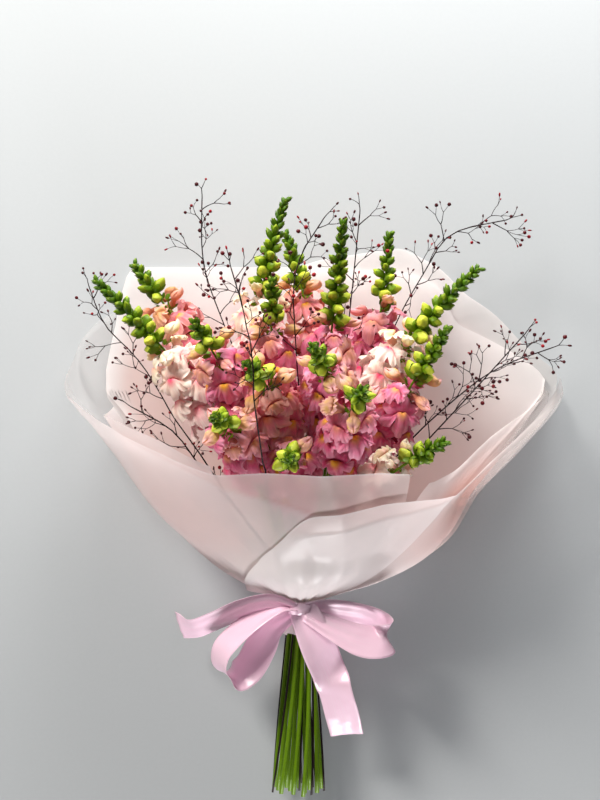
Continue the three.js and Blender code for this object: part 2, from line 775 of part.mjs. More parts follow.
// An open floret. Along its tube is f, up is w and to the side is s. Its outline has two lobes above
// and three below, each point given as [turn from up in degrees, distance out, f].
const FLORET_OUTLINE = [
  [0, 12, 22], [14, 20, 20], [43, 20, 16], [62, 11, 20], [97, 19, 25], [134, 12, 29], [162, 18, 31],
  [198, 18, 31], [226, 12, 29], [263, 19, 25], [298, 11, 20], [317, 20, 16], [346, 20, 20],
];
const FLORET_NECK = [[0, 5, 13], [90, 5, 13], [180, 5, 13], [270, 5, 13]];
const FLORET_ROOT = [[0, 2.4, 0], [90, 2.4, 0], [180, 2.4, 0], [270, 2.4, 0]];
const FLORET_CENTRE = [[0, 0, 23]];
const TURNS = [0, 0.35, -0.35, 0.7, -0.7]; // to either side of a floret's own turn, in radians
const FLORET_START = 5; // of the tube's root from the middle of the stem

function floretPlacer(station, turn, scale) {
  const { place, along, side, lift } = station;
  const out = round(side, lift, turn);
  const forward = round(out, along, FLORET_LIFT);
  const up = round(along, out, -FLORET_LIFT);
  const across = forward.clone().cross(up);
  const root = place.clone().addScaledVector(out, FLORET_START);
  return ([degrees, distance, f], share = 1) => {
    const angle = THREE.MathUtils.degToRad(degrees);
    const wide = distance * share * (f < 1 ? 1 : scale);
    return root
      .clone()
      .addScaledVector(forward, f * scale)
      .addScaledVector(up, wide * Math.cos(angle))
      .addScaledVector(across, wide * Math.sin(angle));
  };
}

function floretProbes(station, turn, scale) {
  const at = floretPlacer(station, turn, scale);
  return [
    ...FLORET_OUTLINE.map((p) => at(p)),
    ...FLORET_OUTLINE.map((p) => at(p, 0.6)),
    at(FLORET_CENTRE[0]),
    ...FLORET_NECK.map((p) => at(p)),
  ];
}

function floret(station, turn, scale) {
  const at = floretPlacer(station, turn, scale);
  const rings = [FLORET_ROOT, FLORET_NECK, FLORET_OUTLINE, FLORET_CENTRE];
  return loft(rings.map((ring) => ring.map((p) => [p[0], at(p)])));
}

function budAxis(station, turn, size) {
  const out = round(station.side, station.lift, turn);
  const angle = 0.45 + 0.45 * size;
  return station.along.clone().multiplyScalar(Math.cos(angle)).addScaledVector(out, Math.sin(angle));
}

function bud(station, turn, size, scale) {
  const axis = budAxis(station, turn, size);
  const length = THREE.MathUtils.lerp(...BUD_LENGTHS, size) * scale;
  const across = axis.clone().cross(vec(0.3, 0.2, 1)).normalize();
  const belly = station.place.clone().addScaledVector(axis, 0.58 * length);
  const tip = station.place.clone().addScaledVector(axis, length);
  const radius = THREE.MathUtils.lerp(...BUD_RADII, size) * scale;
  return {
    probes: [tip, ...ringRound(belly, across, axis.clone().cross(across), radius, 4).map(([, p]) => p)],
    solid: () =>
      loft([
        [[0, station.place.clone()]],
        ringRound(belly, across, axis.clone().cross(across), radius, 4),
        [[0, tip]],
      ]),
  };
}

function leaf(station, turn, scale) {
  const out = round(station.side, station.lift, turn);
  const way = station.along.clone().multiplyScalar(0.9).addScaledVector(out, 0.44).normalize();
  const wide = station.along.clone().cross(out);
  const thick = way.clone().cross(wide);
  const rows = [[0.02, 0.25], [0.35, 1], [0.7, 0.75], [1, 0.12]];
  const rings = rows.map(([share, width]) => {
    const middle = station.place
      .clone()
      .addScaledVector(way, share * LEAF_LENGTH * scale)
      .addScaledVector(out, 6 * scale * share * share);
    const corner = (a, b) =>
      middle
        .clone()
        .addScaledVector(wide, (a * width * LEAF_WIDTH * scale) / 2)
        .addScaledVector(thick, (b * LEAF_THICKNESS) / 2);
    return [[45, corner(1, 1)], [135, corner(-1, 1)], [225, corner(-1, -1)], [315, corner(1, -1)]];
  });
  return { probes: rings.slice(1).flatMap((ring) => ring.map(([, p]) => p)), solid: () => loft(rings) };
}

// Whether some points of a head are nearer to its own stem than to any other, clear of the sprays
// and inside the wrap.
function inOwnCell(probes, head) {
  return probes.every((p) => {
    const own = distanceToLine(p, headLines[head]);
    return (
      insideWrap(p, WRAP_GAP) &&
      headLines.every((line, i) => i === head || distanceToLine(p, line) > own + CELL_GAP) &&
      sprayLines.every((line) => distanceToLine(p, line) > SPRAY_GAP) &&
      twigs.every(({ root, tip }) => distanceToLine(p, [root, tip]) > TWIG_GAP)
    );
  });
}

// The turn near a wanted one at which something is largest, and its share of full size there.
function fitTurned(probesAt, turn, head) {
  const tried = TURNS.map((shift) => {
    const scale = fit((share) => probesAt(turn + shift, share), head);
    return { turn: turn + shift, scale };
  });
  return tried.reduce((a, b) => (b.scale > a.scale ? b : a));
}

// The largest share of full size at which something fits, or 0.
function fit(probesAt, head) {
  for (let scale = 1; scale >= SMALLEST_FLORET; scale -= 0.06) {
    if (inOwnCell(probesAt(scale), head)) return scale;
  }
  return 0;
}

function stemRadiusAt(stalk, i) {
  const share = Math.max(0, (i - FIRST_ABOVE) / (stalk.points.length - 1 - FIRST_ABOVE));
  return THREE.MathUtils.lerp(STEM_RADIUS, STEM_TIP_RADIUS, share);
}

const budsOf = (row) => Math.round(row.bud / BUD_PITCH) + 1;

function stemOf(row, head) {
  const stalk = headStalks[head];
  const solids = [stalk.tube((i) => stemRadiusAt(stalk, i), STEM_SIDES)];
  const buds = budsOf(row);
  for (let k = 0; k < buds; k++) {
    const size = k / (buds - 1);
    const station = stalk.fromTip(1.5 + (row.bud - 5) * size);
    const turn = k * GOLDEN_ANGLE;
    const scale = fit((share) => bud(station, turn, size, share).probes, head);
    if (scale) solids.push(bud(station, turn, size, scale).solid());
  }
  const station = stalk.fromTip(row.bud + row.bloom + LEAF_BELOW_BLOOM);
  const leafScale = fit((share) => leaf(station, head, share).probes, head);
  if (leafScale) solids.push(leaf(station, head, leafScale).solid());
  return fuse(solids);
}

// The florets of a head stand on a core round the stem.
function floretsOf(row, head) {
  const stalk = headStalks[head];
  const top = stalk.points.length - 3;
  const bottom = top - 2;
  const bore = (i) => stemRadiusAt(stalk, i) + BORE_CLEARANCE;
  const core = stalk.tube(() => CORE_RADIUS, STEM_SIDES, bottom, top);
  const solids = [core];
  for (let k = 0; k < row.florets; k++) {
    const distance = row.bud + 6 + ((row.bloom - 10) * k) / (row.florets - 1);
    const station = stalk.fromTip(distance);
    const wanted = (k + budsOf(row)) * GOLDEN_ANGLE;
    const { turn, scale } = fitTurned((t, share) => floretProbes(station, t, share), wanted, head);
    if (scale) solids.push(floret(station, turn, scale));
  }
  return fuse([fuse(solids).subtract(stalk.tube(bore, STEM_SIDES, bottom - 1, top + 1))]);
}

// A twig that ends in a berry.
function berryTwig(root, tip) {
  const { along, side, lift } = new Stalk([root, tip]).fromTip(0);
  const ring = (beyond, radius, sides) => {
    const centre = tip.clone().addScaledVector(along, beyond);
    return ringRound(centre, side, lift, radius, sides);
  };
  return loft([
    ringRound(root, side, lift, TWIG_RADIUS, 3),
    ring(-0.9 * BERRY_RADIUS, TWIG_RADIUS, 3),
    ring(0, BERRY_RADIUS, 4),
    ring(BERRY_RADIUS, 0, 1),
  ]);
}

function sprayOf(number) {
  const stalk = sprayStalks[number];
  const last = stalk.points.length - 1;
  const thinner = (i) => Math.max(0, (i - FIRST_ABOVE) / (last - FIRST_ABOVE));
  const radiusAt = (i) => SPRAY_RADIUS + (TWIG_RADIUS - SPRAY_RADIUS) * thinner(i);
  const end = stalk.fromTip(0);
  const solids = [
    stalk.tube(radiusAt, 3),
    berryTwig(stalk.fromTip(2).place, end.place.clone().addScaledVector(end.along, 3)),
  ];
  for (const twig of twigs.filter((t) => t.spray === number)) {
    solids.push(berryTwig(twig.root, twig.tip));
  }
  return fuse(solids);
}

// The wrap

function sheetOf({ layer, rim, flare }) {
  const first = rim[0][0];
  const last = rim[rim.length - 1][0];
  const turns = [first];
  for (let step = Math.floor(first / SHEET_STEP) + 1; step * SHEET_STEP < last; step++) {
    turns.push(step * SHEET_STEP);
  }
  turns.push(last);
  const [rows, columns] = [SHEET_STATIONS.length, turns.length];
  const corners = [];
  for (const face of [0, WRAP_THICKNESS]) {
    for (const turn of turns) {
      const top = between(rim, turn);
      for (const station of SHEET_STATIONS) {
        const h = Math.min(station, top);
        const lean = between(flare, turn) * smooth((h - 0.45 * top) / (0.55 * top));
        corners.push(onWrap(turn, h, layer, lean, face));
      }
    }
  }
  const faces = [];
  const outer = rows * columns;
  const quad = (a, b, c, d) => faces.push([a, b, c], [a, c, d]);
  for (let i = 0; i + 1 < columns; i++) {
    for (let j = 0; j + 1 < rows; j++) {
      const a = i * rows + j;
      quad(a, a + rows, a + rows + 1, a + 1);
      quad(outer + a, outer + a + 1, outer + a + rows + 1, outer + a + rows);
    }
    quad(i * rows, outer + i * rows, outer + (i + 1) * rows, (i + 1) * rows);
    const top = (i + 1) * rows - 1;
    quad(top, top + rows, outer + top + rows, outer + top);
  }
  for (let j = 0; j + 1 < rows; j++) {
    const end = (columns - 1) * rows + j;
    quad(j, j + 1, outer + j + 1, outer + j);
    quad(end, outer + end, outer + end + 1, end + 1);
  }
  return solidOf(corners, faces);
}

// The twine and the ribbon

function latheRing(profile, segments, y) {
  const points = [...profile, profile[0]].map(([r, h]) => new THREE.Vector2(r, h));
  const geometry = new THREE.LatheGeometry(points, segments);
  geometry.translate(0, y, TIE_HEIGHT);
  return geometry;
}

// The twine lies just below the tie's middle and widens with the bundle.
function twine() {
  const inner = (bundleRadius + TIE_CLEARANCE) / Math.cos(Math.PI / TWINE_SIDES);
  const innerBelow = inner * (1 + (STEM_SPREAD * TWINE_WIDTH) / STEM_BELOW_TIE);
  const outer = innerBelow + 2 * TWINE_RADIUS;
  const half = TWINE_WIDTH / 2;
  const edge = half - 0.7 * TWINE_RADIUS;
  const profile = [[innerBelow, -half], [outer, -edge], [outer, edge], [inner, half]];
  return solidOfGeometry(latheRing(profile, TWINE_SIDES, TIE_Y - half));
}

// A strip of ribbon along a path. Each row is [place, the way its width lies, share of full width].
function strip(rows) {
  const points = rows.map(([place]) => toVec(place));
  const rings = rows.map(([, across, share], i) => {
    const after = points[Math.min(points.length - 1, i + 1)];
    const along = after.clone().sub(points[Math.max(0, i - 1)]).normalize();
    const wide = toVec(across).addScaledVector(along, -toVec(across).dot(along)).normalize();
    const thick = along.clone().cross(wide);
    const corner = (a, b) =>
      points[i]
        .clone()
        .addScaledVector(wide, (a * share * RIBBON_WIDTH) / 2)
        .addScaledVector(thick, (b * RIBBON_THICKNESS) / 2);
    return [[45, corner(1, 1)], [135, corner(-1, 1)], [225, corner(-1, -1)], [315, corner(1, -1)]];
  });
  return loft(rings);
}

const wrapOutside = GATHER_RADIUS + (WRAP_LAYERS - 1) * WRAP_PITCH + WRAP_THICKNESS;
const bandInner = (wrapOutside + 0.35) / Math.cos(Math.PI / BAND_SIDES);
const bandOuter = bandInner + BAND_THICKNESS;
const KNOT_Y = TIE_Y - 3;
const knotZ = TIE_HEIGHT + bandOuter + 4;

// The way the ribbon's width lies in each loop, and the rows of each loop and tail.
const LEFT_LOOP = [0.55, -0.38, 0.74];
const RIGHT_LOOP = [0.05, -0.93, -0.36];
const RIBBON_STRIPS = [
  [
    [[-3, KNOT_Y, knotZ], LEFT_LOOP, 0.4], [[-24, -10, knotZ + 8], LEFT_LOOP, 0.6],
    [[-50, -20, knotZ + 13], LEFT_LOOP, 0.85], [[-74, -42, knotZ + 11], LEFT_LOOP, 1],
    [[-84, -64, knotZ], LEFT_LOOP, 1], [[-76, -80, knotZ - 16], LEFT_LOOP, 1],
    [[-58, -74, knotZ - 26], LEFT_LOOP, 1], [[-42, -50, knotZ - 24], LEFT_LOOP, 0.95],
    [[-30, -30, knotZ - 8], LEFT_LOOP, 0.6], [[-3, KNOT_Y - 2, knotZ - 1], LEFT_LOOP, 0.4],
  ],
  [
    [[3, KNOT_Y, knotZ], RIGHT_LOOP, 0.4], [[26, -11, knotZ - 7], RIGHT_LOOP, 0.65],
    [[52, -15, knotZ - 12], RIGHT_LOOP, 0.8], [[76, -22, knotZ - 9], RIGHT_LOOP, 0.85],
    [[90, -33, knotZ + 1], RIGHT_LOOP, 0.9], [[84, -40, knotZ + 14], RIGHT_LOOP, 0.9],
    [[62, -40, knotZ + 18], RIGHT_LOOP, 0.85], [[34, -28, knotZ + 12], RIGHT_LOOP, 0.65],
    [[3, KNOT_Y - 2, knotZ + 2], RIGHT_LOOP, 0.4],
  ],
  [
    [[-4, KNOT_Y + 2, knotZ + 1], [0, 0.7, 0.7], 0.4], [[-34, -2, knotZ + 7], [-0.05, 0.75, 0.66], 0.7],
    [[-66, -12, knotZ + 2], [-0.2, 0.7, 0.68], 0.8], [[-94, -26, knotZ - 12], [-0.35, 0.6, 0.7], 0.85],
    [[-116, -34, knotZ - 30], [-0.45, 0.55, 0.7], 0.9], [[-131, -39, knotZ - 46], [-0.6, 0.5, 0.6], 0.9],
  ],
  [
    [[3, KNOT_Y, knotZ + 2], [0.95, 0.2, 0.1], 0.6], [[14, -32, knotZ + 2], [0.95, 0.3, 0], 0.85],
    [[27, -64, knotZ - 4], [0.95, 0.3, 0], 1], [[38, -98, knotZ - 9], [0.93, 0.28, 0.15], 1],
    [[47, -128, knotZ - 17], [0.9, 0.25, 0.35], 1], [[52, -150, knotZ - 28], [0.9, 0.2, 0.4], 0.95],
  ],
];

function knot() {
  const [wide, tall, deep] = KNOT_SIZE.map((size) => size / 2);
  const row = (x, size) => {
    const centre = vec(x * wide, KNOT_Y, knotZ);
    return ringRound(centre, vec(0, tall, 0), vec(0, 0, deep), size, 8);
  };
  return loft([row(-1, 0.55), row(-0.5, 1), row(0.5, 1), row(1, 0.55)]);
}

function ribbon() {
  const half = BAND_WIDTH / 2;
  const profile = [[bandInner, -half], [bandOuter, 0.5 - half], [bandOuter, half - 0.5], [bandInner, half]];
  const band = solidOfGeometry(latheRing(profile, BAND_SIDES, TIE_Y));
  return fuse([band, knot(), ...RIBBON_STRIPS.map(strip)]);
}

// The bouquet

const solids = [];
SNAPDRAGONS.forEach((row, i) => {
  solids.push([`snapdragon_${i + 1}_stem`, stemOf(row, i), "stem"]);
  solids.push([`snapdragon_${i + 1}_florets`, floretsOf(row, i), row.petal]);
});
SPRAYS.forEach((_, i) => solids.push([`berry_spray_${i + 1}`, sprayOf(i), "spray"]));
SHEETS.forEach((sheet) => solids.push([sheet.name, sheetOf(sheet), "wrap"]));
solids.push(["twine", twine(), "twine"]);
solids.push(["ribbon", ribbon(), "ribbon"]);

const bouquet = new THREE.Group();
const box = new THREE.Box3();
for (const [name, solid, colour] of solids) {
  const [color, roughness] = COLOURS[colour];
  const mesh = new THREE.Mesh(
    geometryOf(solid),
    new THREE.MeshStandardMaterial({ color, roughness, side: THREE.DoubleSide }),
  );
  mesh.name = name;
  mesh.geometry.computeBoundingBox();
  box.union(mesh.geometry.boundingBox);
  bouquet.add(mesh);
}
const middle = box.getCenter(vec(0, 0, 0));
bouquet.position.set(-middle.x, -middle.y, -box.min.z);

export default bouquet;
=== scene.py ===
"""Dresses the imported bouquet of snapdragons: florets, buds, stems, berry sprays, wrap and ribbon.

Sizes are in millimetres, in the coordinates that the bouquet is built in: x = 0 at the tie, y = 0
where the wrap opens above it and z = 0 on the surface. Meshes are written in metres, in the frame.
"""

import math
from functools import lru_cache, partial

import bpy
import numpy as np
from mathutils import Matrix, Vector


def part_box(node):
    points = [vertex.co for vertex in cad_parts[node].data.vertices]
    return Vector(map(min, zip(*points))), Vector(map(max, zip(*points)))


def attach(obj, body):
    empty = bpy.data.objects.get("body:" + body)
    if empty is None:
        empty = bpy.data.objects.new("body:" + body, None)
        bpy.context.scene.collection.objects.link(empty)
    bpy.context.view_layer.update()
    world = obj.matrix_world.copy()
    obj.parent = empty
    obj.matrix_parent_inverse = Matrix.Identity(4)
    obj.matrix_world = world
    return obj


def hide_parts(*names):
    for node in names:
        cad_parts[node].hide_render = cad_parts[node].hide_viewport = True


bl_info = {
    "name": "Snapdragon Bouquet",
    "version": (1, 0, 0),
    "blender": (4, 5, 0),
    "location": "View3D > Sidebar > Bouquet",
    "description": "Builds a wrapped bouquet of snapdragons around its frame",
    "category": "Add Mesh",
}

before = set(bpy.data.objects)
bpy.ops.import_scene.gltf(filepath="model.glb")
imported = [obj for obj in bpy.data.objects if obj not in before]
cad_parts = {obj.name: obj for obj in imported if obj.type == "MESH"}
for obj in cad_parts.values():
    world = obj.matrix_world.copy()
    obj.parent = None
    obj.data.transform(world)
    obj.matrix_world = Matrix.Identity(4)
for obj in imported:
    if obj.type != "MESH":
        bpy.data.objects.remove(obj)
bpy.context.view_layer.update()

MM = 0.001

# The frame that the pieces follow, worked out from the same driving dimensions as the solids

TIE_HEIGHT = 52  # of the middle of the tie above the surface
TIE_Y = -8
STEM_BELOW_TIE = 207
BELOW_POINTS = 12
STEM_RADIUS = 2.3
STEM_TIP_RADIUS = 1.1
STEM_TAPER = 200  # above the tie, over which it thins
STEM_SPREAD = 1.75
STEM_TWIST = 0.6
TIE_CLEARANCE = 0.35
FAN_Y = 50
FAN_SHARE = 0.5
FAN_CLEARANCE = 4.5
FAN_FADE = 70
STEM_SWING = 0.42
STEM_LEAVING = 0.3
LEAVING_AHEAD = 0.5
CURVE_STEPS = 80
LINE_PITCH = 15
# How a head is held: this share of its bud stays put, and it grows free over these lengths
HELD_SHARE = 0.6
TIP_FADE = 60
TIE_FADE = 30
# How much room a line wants round it
BLOOM_ROOM = 21
BUD_ROOM = 11
STEM_ROOM = 5.2
SPRAY_ROOM = 5
# How lines that crowd each other are pushed apart, in rounds
SETTLE_ROUNDS = 60
PUSH_SHARE = 0.12
DRAW_IN = 0.02
MOVE_ON = 0.5
SPREAD_ROUNDS = 400
TIE_DRAW_IN = 0.998
GOLDEN_ANGLE = 2.39996
STEM_SIDES = 8
SPRAY_RADIUS = 1.1
SPRAY_FADES = (6, 2)  # how many points from a spray's tip and from the tie it grows free

WRAP_THICKNESS = 0.8
WRAP_PITCH = 1.3
WRAP_LOOSENESS = 0.009
WRAP_LAYERS = 5
WRAP_SKIRT = 38
WRAP_GATHER = 14
SKIRT_FLARE = 0.012
GATHER_RADIUS = 19.4
BOWL_REACH = 275
BOWL_HEIGHT = 220
BOWL_POWER = 0.62
BOWL_START = 8
BOWL_TAPER = 0.1
BOWL_DEPTH = 0.72
BOWL_ROUND = 60
BOWL_LEAN = 0.05
# How much wider or narrower one side is, as a share, and the heights between which it is so.
RIGHT_BELLY = (0.4, 0, 20, 25, 125)
LEFT_WAIST = (-0.08, 80, 160, 190, 250)
PLEATS = 6
PLEAT_DEPTH = 0.025

RIBBON_WIDTH = 38
TWINE_WIDTH = 5.4
TWINE_RADIUS = 0.9
BAND_WIDTH = 11

# One row for each snapdragon: its tip, the way the tip points, the length in green bud, the length
# in bloom and the colour of its petals.
SNAPDRAGONS = (
    ((-206, 333, 150), (-0.72, 0.66, 0.1), 92, 90, "cream"),
    ((-177, 357, 75), (-0.62, 0.78, 0.05), 48, 85, "peach"),
    ((-15, 419, 120), (0.35, 0.93, 0.1), 95, 90, "cream"),
    ((-15, 391, 60), (-0.33, 0.94, 0.05), 60, 85, "peach"),
    ((43, 388, 175), (0.08, 0.89, 0.44), 105, 90, "pink"),
    ((95, 389, 80), (0.06, 1, 0.06), 75, 90, "pink"),
    ((182, 347, 140), (0.75, 0.66, 0.1), 95, 90, "cream"),
    ((144, 282, 190), (0.42, 0.72, 0.55), 70, 90, "pink"),
    ((-50, 246, 262), (-0.3, 0.17, 0.94), 52, 90, "peach"),
    ((12, 263, 258), (-0.3, 0.3, 0.9), 55, 90, "pink"),
    ((-79, 196, 255), (-0.18, 0.05, 0.98), 46, 88, "pink"),
    ((-10, 156, 240), (0, -0.12, 0.99), 38, 85, "pink"),
    ((139, 172, 215), (0.62, 0.35, 0.7), 55, 85, "cream"),
    ((-102, 288, 212), (-0.35, 0.57, 0.74), 42, 90, "pink"),
    ((-27, 328, 205), (0.05, 0.76, 0.65), 52, 88, "pink"),
    ((58, 222, 260), (0.15, 0.3, 0.94), 34, 90, "pink"),
)

# One row for each spray of berries: its stem from above the tie to its tip.
SPRAYS = (
    ((-22, 30, 62), (-75, 110, 84), (-128, 185, 98), (-152, 230, 100), (-174, 262, 104), (-206, 290, 104),
     (-220, 328, 100)),
    ((-14, 25, 44), (-56, 80, 58), (-100, 135, 84), (-128, 180, 104), (-172, 204, 112)),
    ((-8, 60, 40), (-30, 150, 32), (-58, 235, 34), (-85, 300, 52), (-106, 360, 76), (-104, 424, 85)),
    ((2, 50, 66), (4, 120, 100), (2, 190, 140), (-5, 270, 182), (-8, 345, 178), (22, 392, 165)),
    ((10, 60, 50), (30, 150, 62), (46, 240, 84), (54, 323, 106), (62, 404, 110)),
    ((14, 50, 36), (45, 140, 24), (80, 230, 22), (107, 304, 34), (137, 355, 55), (158, 394, 70),
     (214, 404, 76)),
    ((22, 40, 66), (68, 110, 92), (110, 168, 118), (151, 208, 134), (198, 246, 140), (250, 264, 146)),
    ((20, 30, 50), (72, 95, 70), (122, 158, 98), (170, 211, 114), (230, 278, 118)),
    ((-5, 16, 68), (-16, 55, 104), (-32, 110, 160), (-40, 190, 244), (-46, 236, 272), (-49, 286, 266),
     (-64, 334, 242)),
)

# Each sheet of the wrap, from the inside out: its layer, the height of its rim at each turn in
# degrees, how far its rim stands away from the bowl, and curls outwards, at some turns, and how much
# painted pink of the flowers it takes on, the turn where that is most, how many degrees to the sides
# it reaches and how far below the rim it is full. That pink is painted light and shade: the flowers
# seen through the film, the pink light they throw on it and their shadow on it. Some sheets have a
# slant, the degrees that their right edge moves on for each mm down. Some have a fold, whose edge
# crosses them at heights by the turn: below it the film lies double. Some end in a wing, with the
# turns and the heights between which it grows sheer.
SHEETS = {
    "wrap_back": {
        "layer": 0,
        "rim": ((105, 235), (120, 258), (144, 300), (148, 338), (157, 356), (180, 362), (228, 362),
                (231, 310), (240, 215)),
        "flare": ((105, 0), (240, 0)),
        "pink": (0.6, 180, 90, 130),
    },
    "wrap_inner_left": {
        "layer": 1,
        "rim": ((-150, 310), (-132, 290), (-124, 240), (-118, 206), (-90, 196), (-65, 190), (-45, 172),
                (-28, 150)),
        "flare": ((-150, 0), (-120, 0), (-105, -9), (-65, -9), (-45, -6), (-28, 0)),
        "pink": (1.0, -80, 90, 80),
        "wing": (-112, -145, 60, 120),
    },
    "wrap_inner_right": {
        "layer": 1,
        "rim": ((40, 130), (50, 142), (54, 178), (62, 212), (75, 214), (90, 220), (105, 236), (120, 258),
                (143, 296), (150, 298)),
        "flare": ((40, -3), (54, -8), (90, -6), (105, 0), (150, 0)),
        "curl": ((40, 0), (60, 2), (80, -4), (110, -4), (150, 0)),
        "pink": (1.0, 80, 80, 90),
        "wing": (50, 70, 110, 170),
    },
    "wrap_front": {
        "layer": 2,
        "rim": ((-134, 318), (-126, 307), (-117, 288), (-101, 256), (-88, 237), (-70, 214), (-55, 193),
                (-37, 158), (-27, 143), (0, 142), (29, 147)),
        "flare": ((-134, 0), (-88, 3), (-50, 4), (-27, 0), (0, -3), (29, 2)),
        "curl": ((-134, 0), (-104, -2), (-92, -5), (-72, -4), (-52, 4), (-30, 0), (29, 2)),
        "slant": 0.17,
        "pink": (0.4, 5, 45, 3),
        "fold": ((-62, 210), (-45, 165), (-25, 128), (2, 101), (29, 92)),
        "wing": (-60, -100, 40, 100),
    },
    "wrap_right": {
        "layer": 2,
        "rim": ((45, 112), (52, 122), (57, 168), (60, 240), (72, 226), (85, 209), (105, 228), (120, 255),
                (165, 290)),
        "flare": ((45, 4), (60, 6), (85, 10), (105, 0), (165, 0)),
        "curl": ((45, 2), (58, 0), (72, -6), (86, -9), (105, -6), (125, 0), (165, 0)),
        "pink": (0.15, 90, 60, 40),
        "wing": (50, 66, 60, 120),
    },
    "wrap_front_low": {
        "layer": 3,
        "rim": ((-58, 20), (-45, 32), (-25, 50), (-9, 76), (2, 101), (31, 119), (48, 129)),
        "flare": ((-58, 5), (0, 1), (48, 5)),
        "curl": ((-58, 0), (-30, -2), (0, -2), (20, 0), (48, 4)),
        "pink": (0.2, 20, 60, 3),
        "fold": ((-9, 80), (2, 82), (19, 92), (37, 105), (48, 121)),
    },
    "wrap_back_outer": {
        "layer": 4,
        "rim": ((95, 213), (105, 230), (122, 262), (130, 282), (138, 314), (146, 336), (152, 363),
                (162, 387), (180, 372), (200, 330), (215, 290)),
        "flare": ((95, 6), (126, 0), (215, 0)),
        "curl": ((95, -8), (106, -2), (114, 10), (128, 17), (142, 15), (158, 3), (200, -2), (215, 0)),
        "pink": (0.3, 150, 60, 60),
        "wing": (150, 110, 40, 100),
    },
}
DOUBLED = ("wrap_back", "wrap_back_outer", "wrap_front_low")  # folded over, of two plies

# The lowest rim that a head has to clear before it may lean out of the bowl, at each turn.
OPENING = (
    (-180, 362), (-140, 350), (-110, 296), (-85, 278), (-70, 232), (-55, 195), (-37, 158), (-27, 143),
    (29, 147), (34, 126), (42, 136), (57, 168), (69, 214), (85, 285), (120, 300), (150, 362), (180, 362),
)
LEANING_OUT = 8

# The seeds of the random draws
FLORET_SEED = 7
BUD_SEED = 11
PETAL_SEED = 23
SPRAY_SEED = 5

# Small helpers


def linear(colour):
    """An sRGB hex colour as the linear numbers that Blender works in."""
    channels = [int(colour[k : k + 2], 16) / 255 for k in (1, 3, 5)]
    return tuple(c / 12.92 if c <= 0.04045 else ((c + 0.055) / 1.055) ** 2.4 for c in channels)


def smooth(t):
    """0 up to 0 and 1 from 1, with a soft step between."""
    c = np.clip(t, 0, 1)
    return c * c * (3 - 2 * c)


def hill(x, width):
    """1 at 0, and almost nothing from twice the width on."""
    return np.exp(-((x / width) ** 2))


def between(pairs, x):
    """The value at x in a list of (x, value) pairs, in straight steps."""
    return np.interp(x, [p[0] for p in pairs], [p[1] for p in pairs])


def unit(v):
    """Directions of length 1."""
    return v / np.maximum(np.linalg.norm(v, axis=-1, keepdims=True), 1e-12)


def round_axis(first, second, turn):
    """A direction square to an axis, at a turn round it from a first direction."""
    return first * math.cos(turn) + second * math.sin(turn)


def reaches(line):
    """How far along a line each of its points lies."""
    steps = np.linalg.norm(np.diff(line, axis=0), axis=1)
    return np.concatenate([[0], np.cumsum(steps)])


def along_line(line, distances):
    """The points at some distances along a line."""
    reach = reaches(line)
    return np.stack([np.interp(distances, reach, line[:, k]) for k in range(3)], axis=-1)


def even_steps(line, pitch):
    """The line again in even steps of about a pitch."""
    total = reaches(line)[-1]
    steps = max(2, round(total / pitch))
    return along_line(line, np.linspace(0, total, steps + 1))


def rounded(points):
    """A line with its corners cut off twice, and its ends kept."""
    line = np.array(points, float)
    for _ in range(2):
        quarter = line[:-1] * 0.75 + line[1:] * 0.25
        three = line[:-1] * 0.25 + line[1:] * 0.75
        middle = [p for pair in zip(three[:-1], quarter[1:]) for p in pair]
        line = np.array([line[0], *middle, line[-1]])
    return line


def catmull(rows, steps):
    """Rows of numbers joined by a smooth curve, with a number of steps between each two."""
    rows = np.array(rows, float)
    padded = np.concatenate([[2 * rows[0] - rows[1]], rows, [2 * rows[-1] - rows[-2]]])
    found = []
    for a, b, c, d in zip(padded, padded[1:], padded[2:], padded[3:]):
        for t in np.arange(steps) / steps:
            found.append(0.5 * (2 * b + (c - a) * t + (2 * a - 5 * b + 4 * c - d) * t**2
                                + (3 * b - a - 3 * c + d) * t**3))
    return np.array([*found, rows[-1]])


def distance_to_segments(points, starts, ends):
    """The distance from each point to the nearest of some segments."""
    if len(starts) == 0:
        return np.full(points.shape[:-1], 1e9)
    way = ends - starts
    square = np.maximum((way * way).sum(-1), 1e-9)
    offset = points[..., None, :] - starts
    share = np.clip((offset * way).sum(-1) / square, 0, 1)
    return np.linalg.norm(offset - share[..., None] * way, axis=-1).min(-1)


class Stalk:
    """A line with, at each point, the way along it and two directions across."""

    def __init__(self, points):
        self.points = np.array(points, float)
        ends = np.concatenate([self.points[:1], self.points, self.points[-1:]])
        self.along = unit(ends[2:] - ends[:-2])
        side = np.array([1, 0.2, 0.1])
        sides = []
        for t in self.along:
            side = unit(side - side @ t * t)
            sides.append(side)
        self.side = np.array(sides)
        self.lift = np.cross(self.along, self.side)
        self.reach = reaches(self.points)
        self.total = self.reach[-1]

    def from_tip(self, distance):
        """The place, the way along and the two directions across at a distance from the tip."""
        at = self.total - distance
        found = []
        for column in (self.points, self.along, self.side, self.lift):
            found.append(np.array([np.interp(at, self.reach, column[:, k]) for k in range(3)]))
        return found[0], unit(found[1]), unit(found[2]), unit(found[3])


# The wrap's bowl


def bowl_width(h):
    """Half the wrap's width at a height above the tie."""
    def rise(at):
        return BOWL_REACH * ((at + BOWL_START) / BOWL_HEIGHT) ** BOWL_POWER
    up = np.clip(h, 0, BOWL_HEIGHT)
    skirt = SKIRT_FLARE * np.maximum(0, -h - WRAP_GATHER) ** 2
    return GATHER_RADIUS + skirt + rise(up) - rise(0) + BOWL_TAPER * np.maximum(0, h - BOWL_HEIGHT)


def bowl_depth(h):
    """Half the wrap's height at a height above the tie."""
    return bowl_width(h) * (1 - (1 - BOWL_DEPTH) * smooth(h / BOWL_ROUND))


